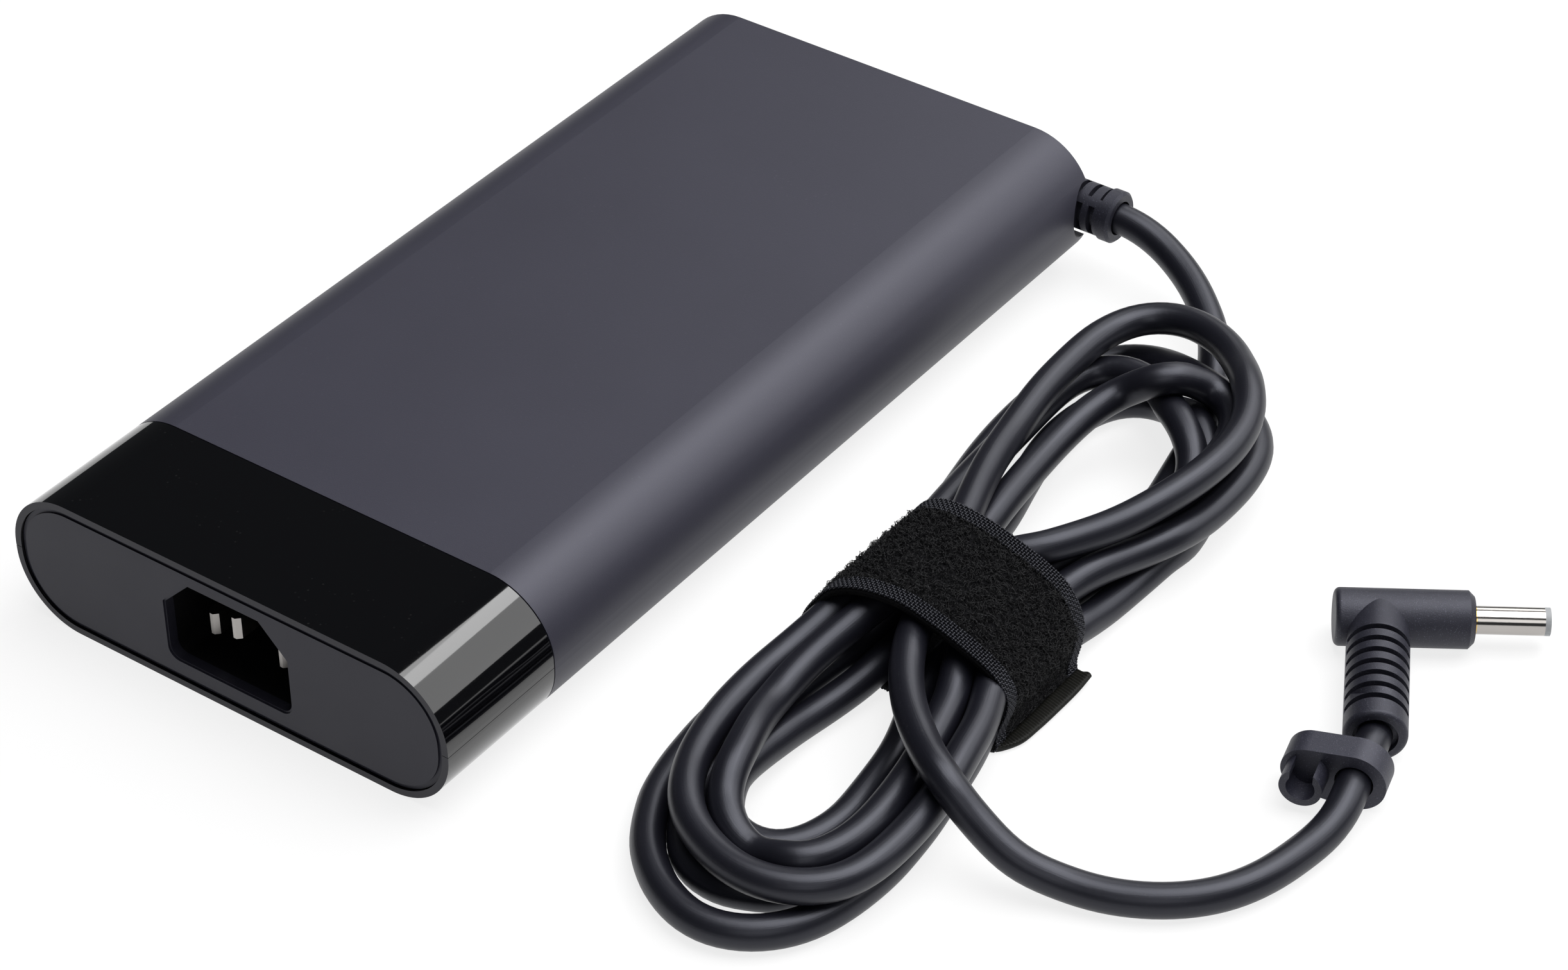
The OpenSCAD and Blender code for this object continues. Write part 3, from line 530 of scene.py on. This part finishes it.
farLobes = {
    "F": [
        (70, -12, 11), (69.5, -2, 10.4), (67.6, 8, 9), (65.8, 18, 7.4), (64.6, 28, 6.4), (63.9, 38, 6.2),
        (63.5, 47, 6.2), (64.4, 53.2, 6.4), (67.4, 56.8, 6.9), (72, 57.8, 7.6), (77, 56.6, 8.2),
        (81.4, 53.8, 9), (85.6, 49.7, 10), (91.2, 44.8, 10), (95, 40.4, 8), (96.3, 34, 6.4),
        (95.8, 27, 4.2), (94.4, 20, 2.9), (93.2, 11, 2.9), (92.2, 1, 3.6), (91.8, -12, 4.2),
    ],
    "B2": [
        (76.6, -13, 4.2), (74.4, -3, 4), (73.9, 6, 3.2), (73.2, 16, 2.75), (70.5, 27, 2.75),
        (68.3, 38, 2.75), (68.2, 46, 2.75), (69.6, 52, 2.75), (73.3, 57.3, 2.75), (78.2, 58.5, 3),
        (84, 55.9, 4.8), (89.6, 51, 8), (94.4, 46.2, 7.6), (97.8, 40, 4.6), (99.3, 34, 3), (99.5, 27, 2.75),
        (99.4, 20, 2.75), (99.1, 12, 2.75), (98.6, 5, 2.9), (98, -2, 3.8), (97.3, -12, 4.2),
    ],
    "B": [
        (74.2, -17, 7.4), (76.6, -9, 9.4), (77, 0, 9.6), (75.8, 9, 9.5), (74.6, 17.5, 9.2), (73.8, 26, 9.3),
        (73.6, 33, 9.8), (74.2, 39.6, 10.8), (75.7, 44.7, 11.8), (77.9, 48.7, 12.6), (81, 52.2, 13.1),
        (85.2, 54.9, 13.3), (90.4, 55.3, 13), (94.8, 53, 12.6), (97.6, 48.5, 12.3), (98.9, 42, 11.8),
        (98.7, 35, 11.2), (97.4, 28, 10), (95, 20, 8.9), (92, 11, 8.8), (89.2, 1, 9.8), (88.2, -12, 10.8),
    ],
    "C": [
        (67.3, -12, 4.2), (66.3, 0, 3.9), (64.6, 10, 3.2), (62.6, 20, 2.75), (61, 29, 2.75), (60, 38, 2.75),
        (59.8, 47, 2.75), (60.5, 54.5, 2.75), (62.4, 61, 2.75), (66, 65.4, 3.4), (71, 66.7, 4.4),
        (76.4, 64.9, 6.4), (81, 62.5, 8.2), (85.6, 61.3, 8.3), (91, 59.4, 8.3), (96.8, 55.9, 8.3),
        (101.1, 50.2, 8.3), (102.9, 43, 8.3), (103.3, 34, 8.3), (102.3, 25, 8.4), (99.3, 15.5, 8.9),
        (96, 7, 9.2), (94.3, -3, 9), (94.2, -12, 9.2),
    ],
    "A": [
        (77, -12, 14), (76, -1, 13.5), (73.4, 7.2, 13.4), (70.4, 16.6, 13.2), (67.6, 28, 12),
        (65.5, 40.5, 11.9), (65, 49.5, 12), (65.3, 58, 12.2), (68, 65.9, 12.3), (71.7, 68.4, 12.8),
        (76.4, 69, 13.5), (82.7, 67.1, 14.2), (88.3, 63.4, 15), (93.6, 58, 15.5), (97.5, 52.8, 15.7),
        (100.4, 46.5, 16), (101.7, 40, 16), (101.5, 31, 16), (99.5, 21.4, 15.6), (96.3, 13, 14.8),
        (92.5, 6.8, 14.2), (88.9, 1.6, 13.7), (84, -6, 13.6),
    ],
}
windingOrder = (("R1", "B2"), ("O1", "C"), ("S1", "F"), ("O2", "B"), ("S2", "A"))


def allStations():
    # the lead, then a near and a far lobe for each turn in winding order, then the tail
    points = leadRun + leadIntoStrap
    for nearName, farName in windingOrder:
        points = points + nearLobes[nearName] + farLobes[farName]
    return np.array(points + tailOutOfStrap + tailRun, float)


def closePairs(x, reach, skip):
    # every two points nearer than reach that lie at least skip apart along the line
    a, b = np.triu_indices(len(x), skip)
    near = ((x[a] - x[b]) ** 2).sum(1) < reach * reach
    return a[near], b[near]


def settleCord(plan):
    # pulls the line towards its stations across the view, lets it rise and sink along the view, keeps it
    # smooth, pushes strands a diameter apart and holds them between the floor and the strap
    d, step = plan["diameter"], plan["step"]
    target = smoothLine(evenSteps(throughPoints(allStations()), step), plan["smoothBefore"])
    x = target.copy()
    ray = unit(target - eyePlace)
    s = lengthAlong(x)
    fixed = (s < plan["heldStart"]) | (s > s[-1] - plan["heldEnd"])
    skip = int(np.ceil(plan["neighbours"] / step))
    left, right = plan["strappedX"]
    margin, lean = plan["strapMargin"], plan["lidLean"]
    tx, ty = target[:, 0], target[:, 1]
    near, far = strapPlan["near"], strapPlan["far"]
    banded = (ty > near - margin) & (ty < far + margin) & (tx < right) & (tx > left)
    free = banded & (ty > near + plan["looseFrom"]) & (ty < far - plan["looseTo"])
    hold = np.where(free, plan["holdUnderStrap"], plan["hold"])[:, None]
    low = np.where(banded, plan["strapClearance"], plan["floorClearance"])
    lidX, lidZ = np.array(strapPlan["lid"]).T
    for turn in range(plan["rounds"]):
        if turn % plan["listEvery"] == 0:
            a, b = closePairs(x, d + plan["pairReach"], skip)
        off = target - x
        along = (off * ray).sum(1)[:, None] * ray
        x += hold * (off - along) + plan["holdAlongView"] * along
        even = x.copy()
        even[2:-2] = (-x[:-4] + 4 * x[1:-3] + 4 * x[3:-1] - x[4:]) / 6
        x += plan["stiffness"] * (even - x)
        for _ in range(plan["pushes"]):
            gap = x[b] - x[a]
            apart = np.linalg.norm(gap, axis=1)
            hit = apart < d
            push = gap[hit] * ((d - apart[hit]) / apart[hit] * 0.5)[:, None]
            moved, count = np.zeros_like(x), np.zeros(len(x))
            np.add.at(moved, a[hit], -push)
            np.add.at(moved, b[hit], push)
            np.add.at(count, a[hit], 1)
            np.add.at(count, b[hit], 1)
            x += moved / np.maximum(count, 1)[:, None] * plan["overPush"]
        x[:, 2] = np.maximum(x[:, 2], low)
        across = np.clip((x[:, 1] - near) / (far - near), 0, 1)
        lid = np.interp(x[:, 0] - lean + 2 * lean * across, lidX, lidZ)
        over = banded & (x[:, 2] > lid)
        x[over, 2] += (lid[over] - x[over, 2]) * 0.5
        x[fixed] = target[fixed]
    return smoothLine(x, plan["smoothAfter"])


def tubeGrid(path, radius, sides):
    # ring of points round each path point, across the tangent, with the seam underneath
    tangent = unit(np.gradient(path, axis=0))
    side = unit(np.cross(tangent, [0.0, 0.0, 1.0]))
    above = np.cross(side, tangent)
    angle = np.linspace(0, 2 * np.pi, sides, endpoint=False)[None, :, None] - np.pi / 2
    return path[:, None] + radius * (np.cos(angle) * side[:, None] + np.sin(angle) * above[:, None])


def cordMaterial():
    # satin jacket: the moulded grain, and over it a noise drawn out along the UV's length
    material, tree, shader, place, bump = surface("cordJacket", {
        "colour": (0.0045, 0.0045, 0.0075), "deepColour": (0.0065, 0.0065, 0.0105), "rough": 0.39,
        "roughSwing": 0.08, "patch": 40.0, "grain": 1500.0, "bump": 0.012, "dust": 0.03,
        "shader": {"Specular IOR Level": 0.5, "Specular Tint": (0.86, 0.88, 1.0, 1.0)}})
    # faint draw lines of the extrusion along the jacket
    uv = node(tree, "ShaderNodeUVMap", uv_map="UVMap").outputs["UV"]
    stretch = node(tree, "ShaderNodeMapping")
    stretch.inputs["Scale"].default_value = (40.0, 6.0, 1.0)
    tree.links.new(uv, stretch.inputs["Vector"])
    lines = node(tree, "ShaderNodeTexNoise", {"Scale": 2.0, "Detail": 2.0})
    tree.links.new(stretch.outputs[0], lines.inputs["Vector"])
    drawn = node(tree, "ShaderNodeBump", {"Distance": 0.015 * mm, "Strength": 1.0})
    tree.links.new(lines.outputs["Fac"], drawn.inputs["Height"])
    tree.links.new(bump.outputs["Normal"], drawn.inputs["Normal"])
    tree.links.new(drawn.outputs["Normal"], shader.inputs["Normal"])
    return material


# Strap

# Outer profile of the tied band at its two edges, x, y and z in mm, clockwise from the left foot. On the
# right the band slants as it turns under, and its toe reaches 0.25 mm past the hook end's root line
strapPlan = {
    "near": -26.5,
    "far": -1.0,
    "thickness": 1.4,
    "selvedge": 3.0,
    "nearProfile": [
        (63.2, -26.5, 3.6), (64.2, -26.5, 8), (66.6, -26.5, 12.2), (68.9, -26.5, 15.1),
        (73.5, -26.5, 17.6), (78.1, -26.5, 18.6), (82.4, -26.5, 18.8), (87.5, -26.5, 17.6),
        (94.1, -26.5, 15.3), (99.6, -26.5, 12.5), (102.1, -26.5, 9.2), (102.2, -26.8, 6.4),
        (101.7, -27.6, 4), (101.6, -28.5, 2.4), (102.15, -29.1, 1.2), (101.6, -29.3, 0.35),
        (96, -28, 0.05), (90, -26.5, 0.05), (83, -26.5, 0.05), (74, -26.5, 0.05),
        (66.5, -26.5, 0.2), (64, -26.5, 1.4),
    ],
    "farProfile": [
        (63.2, -1, 3.6), (64.9, -1, 8.6), (67.6, -1, 13.4), (70.3, -1, 17), (73.8, -1, 18.8),
        (77.6, -1, 19.1), (82.7, -1, 18.4), (87.5, -1, 17), (92.5, -1, 15.1), (96.8, -1, 12.6),
        (99.2, -1.2, 9.4),
        (100.7, -2, 6.4), (101.2, -3.6, 4), (101.5, -5.2, 2.4), (102.15, -6.2, 1.2), (101.6, -6.6, 0.35),
        (96, -4, 0.05), (90, -1.5, 0.05), (83, -1, 0.05), (74, -1, 0.05), (66.5, -1, 0.2), (64, -1, 1.4),
    ],
    "lid": [(66, 9.5), (70, 12.6), (74, 14.3), (78, 14.8), (83, 14.3), (88, 13.2), (92, 12.2), (96, 10.6),
            (98.6, 8.0), (99.4, 4.2)],  # highest middle of a strand under the band, x and z
    "around": 460,
    "columns": 40,
    "bodyShare": 0.72,  # of the thickness, the rest is yarn
    "sunk": 0.25,  # the body's outer face lies this far under the yarns' middles
    "swell": 0.12,
    "swellRun": 0.03,  # share of the width over which the swell rises
    "ripple": 0.05,
}


def strapRing(profile):
    # closed curve through the profile, cut into equal steps, and its whole length
    line = throughPoints(profile, 0.3, closed=True)
    line = np.vstack([line, line[:1]])
    s = lengthAlong(line)
    t = np.linspace(0, s[-1], strapPlan["around"], endpoint=False)
    return np.stack([np.interp(t, s, line[:, k]) for k in range(3)], 1), s[-1]


nearRing, nearLoop = strapRing(strapPlan["nearProfile"])
farRing, farLoop = strapRing(strapPlan["farProfile"])


def strapSurface(turn, across):
    # point and outward normal of the band: a straight loft between its two edge outlines.
    # turn runs 0 to 1 round the loop, across 0 to 1 from the near edge to the far edge
    n = strapPlan["around"]
    at = np.asarray(turn, float) % 1.0 * n
    low = np.floor(at).astype(int) % n
    part = (at - np.floor(at))[..., None]
    near = nearRing[low] * (1 - part) + nearRing[(low + 1) % n] * part
    far = farRing[low] * (1 - part) + farRing[(low + 1) % n] * part
    w = np.asarray(across, float)[..., None]
    point = near * (1 - w) + far * w
    nearAhead = nearRing[(low + 2) % n] - nearRing[low - 1]
    farAhead = farRing[(low + 2) % n] - farRing[low - 1]
    ahead = unit((nearAhead * (1 - w) + farAhead * w)[..., [0, 2]])
    normal = np.stack([-ahead[..., 1], np.zeros(point.shape[:-1]), ahead[..., 0]], -1)
    return point, normal


cordPath = settleCord(cordPlan)
roundCord = np.linspace(0, 1, cordPlan["sides"], endpoint=False)[None, :]
downCord = (lengthAlong(cordPath) * mm * 10)[:, None]
cordUv = np.stack(np.broadcast_arrays(roundCord, downCord), -1)
cordTube = tubeGrid(cordPath, cordPlan["diameter"] / 2, cordPlan["sides"])
cordMesh = meshFromGrid("outputCord", cordTube, True, capEnds=True, uv=cordUv)
outputCord = addPiece("outputCord", cordMesh, "adapter", cordMaterial(),
                      ("cord_lead", "cord_hank", "cord_tail"))


def buildStrap():
    # strap body: the section runs over the outer face, round the edge and back along the inner face. The
    # outer face swells between the selvedges, where the pile starts, and ripples as a product of two sines
    outer = np.linspace(0, 1, strapPlan["columns"])
    turns = np.arange(strapPlan["around"]) / strapPlan["around"]
    thick = strapPlan["thickness"] * strapPlan["bodyShare"]
    point, normal = strapSurface(turns[:, None] + 0 * outer, outer[None] + 0 * turns[:, None])
    edge = strapPlan["selvedge"] / (strapPlan["far"] - strapPlan["near"])
    pile = np.clip((np.minimum(outer, 1 - outer) - edge) / strapPlan["swellRun"], 0, 1)[None, :, None]
    rise = strapPlan["swell"] * pile - strapPlan["sunk"]
    alongSine = np.sin(turns * 2 * np.pi * 173)[:, None, None]
    acrossSine = np.sin(outer * 70)[None, :, None]
    wave = strapPlan["ripple"] * alongSine * acrossSine * pile
    top = point + normal * (rise + wave)
    inner = point - normal * (strapPlan["sunk"] + thick)
    section = np.concatenate([top, inner[:, ::-1][:, ::3]], 1)
    section[..., 2] = np.maximum(section[..., 2], 0.0)
    return meshFromGrid("strapBand", section, True, alongClosed=True)


def strapClothMaterial():
    # dull ground cloth under the yarns and the pile
    return surface("strapPile", {
        "colour": (0.002, 0.002, 0.0025), "deepColour": (0.004, 0.004, 0.005), "rough": 0.9, "patch": 400.0,
        "grain": 1400.0, "bump": 0.25, "shader": {"Specular IOR Level": 0.1}})[0]


def yarnMaterial():
    # woven nylon: a slight bluish sheen, its tone swinging in fine patches
    return surface("strapYarn", {
        "colour": (0.0015, 0.0015, 0.0022), "deepColour": (0.009, 0.0095, 0.013), "rough": 0.32,
        "patch": 900.0, "grain": 3000.0, "bump": 0.03,
        "shader": {"Specular IOR Level": 0.32, "Specular Tint": (0.86, 0.88, 1.0, 1.0)}})[0]


def fibrePaintedGlintMaterial():
    # loop pile: near black, with lighter patches of fibre colour here and there, a painted highlight
    # standing in for the glints on the curled loops
    return surface("strapFibrePaintedGlint", {
        # deepColour is the painted highlight: lighter patches about a millimetre across, laid on the fibres'
        # near-black colour
        "colour": (0.0008, 0.0008, 0.001), "deepColour": (0.014, 0.014, 0.016), "rough": 0.45,
        "patch": 900.0, "grain": 2000.0, "bump": 0.0, "shader": {"Specular IOR Level": 0.25}})[0]


def gridFaces(count, rows, columns):
    # quads of many equal open tubes, each rows x columns with closed columns
    index = np.arange(rows * columns).reshape(rows, columns)
    base, ahead = index[:-1], index[1:]
    quads = np.stack([base, np.roll(base, -1, 1), np.roll(ahead, -1, 1), ahead], -1).reshape(-1, 4)
    return (quads[None] + (np.arange(count) * rows * columns)[:, None, None]).reshape(-1, 4)


def manyTubes(name, centres, across, wide, thick, sides):
    # centres: count x rows x 3. across: unit vectors of the tube's width; the thickness stands on it
    tangent = unit(np.gradient(centres, axis=1))
    side = unit(across - (across * tangent).sum(-1, keepdims=True) * tangent)
    above = np.cross(tangent, side)
    angle = np.linspace(0, 2 * np.pi, sides, endpoint=False)
    ring = centres[:, :, None] + wide * np.cos(angle)[:, None] * side[:, :, None] \
        + thick * np.sin(angle)[:, None] * above[:, :, None]
    ring[..., 2] = np.maximum(ring[..., 2], 0.0)  # nothing goes under the floor
    count, rows = centres.shape[:2]
    faces = gridFaces(count, rows, sides).tolist()
    first = (np.arange(count) * rows * sides)[:, None] + np.arange(sides)[None]
    faces += first[:, ::-1].tolist() + (first + (rows - 1) * sides).tolist()
    mesh = bpy.data.meshes.new(name)
    mesh.from_pydata((ring.reshape(-1, 3) * mm).tolist(), [], faces)
    mesh.polygons.foreach_set("use_smooth", np.ones(len(mesh.polygons), bool))
    mesh.update()
    return mesh


weave = {"pitch": 0.5, "amplitude": 0.14, "wide": 0.18, "thick": 0.13}


def warpYarns():
    # yarns along the strap: each rides over and under the crossing ones as a cosine, neighbours in turn
    width = strapPlan["far"] - strapPlan["near"]
    perEdge = int(strapPlan["selvedge"] / weave["pitch"])
    places = (np.arange(perEdge) + 0.5) * weave["pitch"] / width
    places = np.r_[places, 1 - places]
    picks = int(round(0.5 * (nearLoop + farLoop) / weave["pitch"] / 2)) * 2
    turns = np.linspace(0, 1, picks * 4 + 1)
    point, normal = strapSurface(turns[None] + 0 * places[:, None], places[:, None] + 0 * turns[None])
    wave = np.cos(np.pi * turns * picks)[None] * np.where(np.arange(len(places)) % 2, 1, -1)[:, None]
    return point + normal * (weave["amplitude"] * wave[..., None]), picks


def weftYarns(picks):
    # yarns across each selvedge, over and under the warp in turn
    width = strapPlan["far"] - strapPlan["near"]
    perEdge = int(strapPlan["selvedge"] / weave["pitch"])
    steps = np.linspace(0, perEdge, perEdge * 3 + 1)
    oneEdge = steps * weave["pitch"] / width
    across = np.concatenate([np.tile(oneEdge, (picks, 1)), np.tile(1 - oneEdge, (picks, 1))])
    turns = np.tile((np.arange(picks) / picks)[:, None], (2, len(steps)))
    point, normal = strapSurface(turns, across)
    wave = np.cos(np.pi * (steps - 0.5))[None] * np.where(np.arange(2 * picks) % 2, -1, 1)[:, None]
    return point + normal * (weave["amplitude"] * wave[..., None])


fibres = {
    "count": 3900,
    "seeds": (11, 12),
    "radius": 0.05,
    "lastTurn": 0.66,  # share of the loop that the pile covers, from the left foot over the top
    "overlap": 0.01,  # it runs this share of the width into each selvedge
    "reach": (0.2, 0.75),
    "height": (0.25, 0.95),
    "tuftLeast": 0.45,
    "tuftSwing": 0.75,
    "bend": 0.7,
    "curl": 0.16,
    "rootDepth": 0.15,
    "pressedX": 99,  # right of this the loops get shorter towards the floor
    "pressedZ": (1, 7),
    "pressedLeast": 0.12,
}


def pileLoops(count, seed):
    # curled loops: each an arc that leaves the ground, leans and comes back down. Their height swings
    # between tufts as the product of a sine and a cosine over the band
    random = np.random.default_rng(seed)
    turn = random.uniform(0.0, fibres["lastTurn"], count)
    edge = strapPlan["selvedge"] / (strapPlan["far"] - strapPlan["near"])
    across = random.uniform(edge - fibres["overlap"], 1 - edge + fibres["overlap"], count)
    point, normal = strapSurface(turn, across)
    heading = random.uniform(0, 2 * np.pi, count)
    level = unit(np.cross(normal, np.array([0.0, 1.0, 0.0])))
    along = np.cos(heading)[:, None] * level + np.sin(heading)[:, None] * np.array([0.0, 1.0, 0.0])
    lean = np.cross(normal, along)
    radius = random.uniform(*fibres["reach"], count)[:, None, None]
    foot, run = fibres["pressedZ"]
    shorter = np.clip((point[:, 2] - foot) / run, fibres["pressedLeast"], 1)
    pressed = np.where(point[:, 0] > fibres["pressedX"], shorter, 1)
    patches = np.abs(np.sin(turn * 190 + across * 9) * np.cos(across * 17 - turn * 110))
    tufts = fibres["tuftLeast"] + fibres["tuftSwing"] * patches
    height = (random.uniform(*fibres["height"], count) * pressed * tufts)[:, None, None]
    bend = random.uniform(-fibres["bend"], fibres["bend"], count)[:, None, None]
    phase = random.uniform(0, 2 * np.pi, count)[:, None, None]
    theta = np.linspace(0, np.pi, 9)[None, :, None]
    curl = fibres["curl"] * np.sin(3 * theta + phase)
    centres = point[:, None] + along[:, None] * (-np.cos(theta) * radius) \
        + normal[:, None] * (np.sin(theta) * height * (1 + curl) - fibres["rootDepth"]) \
        + lean[:, None] * (np.sin(theta) * bend + curl)
    return centres, np.broadcast_to(lean[:, None], centres.shape)


strapBand = addPiece("strapBand", buildStrap(), "adapter", strapClothMaterial(), ("strap_band",))
yarnFinish = yarnMaterial()
warp, picks = warpYarns()
warpSide = np.broadcast_to(np.array([0.0, 1.0, 0.0]), warp.shape)
strapWarp = addPiece("strapWarp", manyTubes("strapWarp", warp, warpSide, weave["wide"], weave["thick"], 5),
                     "adapter", yarnFinish)
weft = weftYarns(picks)
weftTangent = unit(np.gradient(weft, axis=1))
weftNormal = strapSurface(np.tile(np.arange(picks) / picks, 2), np.full(2 * picks, 0.5))[1]
weftSide = np.cross(weftTangent, np.repeat(weftNormal[:, None], weft.shape[1], 1))
strapWeft = addPiece("strapWeft", manyTubes("strapWeft", weft, weftSide, weave["wide"], weave["thick"], 5),
                     "adapter", yarnFinish)
# the pile's finish carries painted highlights as lighter colour patches
fibrePaintedGlintFinish = fibrePaintedGlintMaterial()
for tuft, seed in enumerate(fibres["seeds"]):
    loops, loopSide = pileLoops(fibres["count"], seed)
    mesh = manyTubes("strapPile%d" % tuft, loops, loopSide, fibres["radius"], fibres["radius"], 3)
    addPiece("strapPile%d" % tuft, mesh, "adapter", fibrePaintedGlintFinish)
print("strap made: loop %.0f mm" % nearLoop)


# Hook end of the strap

hookEnd = {
    "rootX": 101.9,
    "middleZ": 0.8,
    "edge": [(102.1, -28.9), (102.9, -28.1), (104.4, -25.3), (104.9, -20.7), (105.1, -15.6), (105.2, -10.2),
             (105, -6.3)],  # its free edge, x and y in mm
    "thickness": 1.1,
    "curl": 0.5,
    "ribPitch": 0.55,
    "ribHeight": 0.12,
    "ribSlant": (0.97, 0.25),  # how much of y and of x a rib's place counts
    "rows": 170,
    "columns": 46,
}


def buildHookEnd(plan):
    # plate between its root line and its free edge: x = root + (edge - root) a, rounded in section, with
    # ribs across it as a cosine, its far corner curled up as the cube of the place along it
    edge = evenSteps(throughPoints([(x, y, 0.0) for x, y in plan["edge"]], 0.2), 0.1)
    y = np.linspace(edge[0, 1], edge[-1, 1], plan["rows"])
    reach = np.interp(y, edge[:, 1], edge[:, 0])[:, None] - plan["rootX"]
    across = np.linspace(0, 1, plan["columns"] // 2)[None]
    x = across * reach
    y = y[:, None] + 0 * across
    byY, byX = plan["ribSlant"]
    rib = plan["ribHeight"] * np.cos(2 * np.pi * (y * byY + x * byX) / plan["ribPitch"])
    half = plan["thickness"] / 2 * np.sqrt(np.clip(1 - (2 * across - 1) ** 6, 0.02, 1))
    rise = plan["middleZ"] + plan["curl"] * across * np.linspace(0, 1, plan["rows"])[:, None] ** 3
    top = np.stack([plan["rootX"] + x, y, rise + half + rib * (half > 0.4)], -1)
    under = np.stack([plan["rootX"] + x, y, rise - half], -1)[:, ::-1]
    return meshFromGrid("strapHookEnd", np.concatenate([top, under], 1), True, capEnds=True)


hookFinish = surface("hookTape", {
    "colour": (0.002, 0.002, 0.0015), "deepColour": (0.006, 0.006, 0.004), "rough": 0.5, "patch": 200.0,
    "grain": 2500.0, "bump": 0.05, "shader": {"Specular IOR Level": 0.2}})[0]
strapHookEnd = addPiece("strapHookEnd", buildHookEnd(hookEnd), "strap_end", hookFinish,
                        ("strap_tab",))


# Floor and light

floorPlan = {
    "half": 3000.0,
    "colour": (0.86, 0.86, 0.86, 1),
    "whiteShare": 0.8,  # how much of what camera, glossy and transmission rays see is plain white
}


def buildFloor(plan):
    # flat square from -half to half: matte, to take the shadow, mixed with white for the rays that see it
    size = plan["half"]
    corner = np.array([[(-size, -size, 0), (size, -size, 0)], [(-size, size, 0), (size, size, 0)]], float)
    floor = bpy.data.objects.new("floor", meshFromGrid("floor", corner, False))
    bpy.context.scene.collection.objects.link(floor)
    material = bpy.data.materials.new("paleFloor")
    material.use_nodes = True
    tree = material.node_tree
    tree.nodes.clear()
    output = node(tree, "ShaderNodeOutputMaterial")
    matte = node(tree, "ShaderNodeBsdfDiffuse", {"Color": plan["colour"]})
    glow = node(tree, "ShaderNodeEmission", {"Color": (1, 1, 1, 1), "Strength": 1.0})
    path = node(tree, "ShaderNodeLightPath")
    bounced = mathNode(tree, "MAXIMUM", path.outputs["Is Glossy Ray"], path.outputs["Is Transmission Ray"])
    seen = mathNode(tree, "MAXIMUM", path.outputs["Is Camera Ray"], bounced)
    mix = node(tree, "ShaderNodeMixShader")
    tree.links.new(mathNode(tree, "MULTIPLY", seen, plan["whiteShare"]), mix.inputs[0])
    tree.links.new(matte.outputs[0], mix.inputs[1])
    tree.links.new(glow.outputs[0], mix.inputs[2])
    tree.links.new(mix.outputs[0], output.inputs["Surface"])
    floor.data.materials.append(material)


lamps = {  # place and aim in metres, size, watts
    "overhead": {"place": (0.25, 0.2, 1.2), "aim": (0.07, 0, 0), "size": (1.1, 1.1), "power": 19.0},
    "right": {"place": (0.62, 0.86, 0.86), "aim": (0.07, 0.02, 0), "size": (1.3, 1.1), "power": 11.0},
    "back": {"place": (-0.25, 1.35, 0.95), "aim": (0.04, 0.05, 0), "size": (0.9, 0.7), "power": 5.0},
    "front": {"place": (0.8, -0.9, 0.9), "aim": (0.07, 0, 0), "size": (0.8, 0.6), "power": 2.5},
}
roomLight = {"colour": (0.9, 0.95, 1.0, 1), "strength": 0.05}


def buildLamps():
    # each lamp stands at its place with its back along place minus aim, and the room adds a faint even light
    for name, lamp in lamps.items():
        data = bpy.data.lights.new(name, "AREA")
        data.shape = "RECTANGLE"
        data.size, data.size_y = lamp["size"]
        data.energy = lamp["power"]
        made = bpy.data.objects.new(name, data)
        back = unit(np.array(lamp["place"]) - np.array(lamp["aim"]))
        side = unit(np.cross([0.0, 0.0, 1.0], back))
        turn = Matrix([list(row) for row in np.array([side, np.cross(back, side), back]).T]).to_4x4()
        made.matrix_world = Matrix.Translation(lamp["place"]) @ turn
        bpy.context.scene.collection.objects.link(made)
    world = bpy.data.worlds.new("room")
    world.use_nodes = True
    background = world.node_tree.nodes["Background"]
    background.inputs["Color"].default_value = roomLight["colour"]
    background.inputs["Strength"].default_value = roomLight["strength"]
    bpy.context.scene.world = world
    bpy.context.scene.view_settings.view_transform = "Standard"


buildFloor(floorPlan)
buildLamps()
print("floor and lamps made")
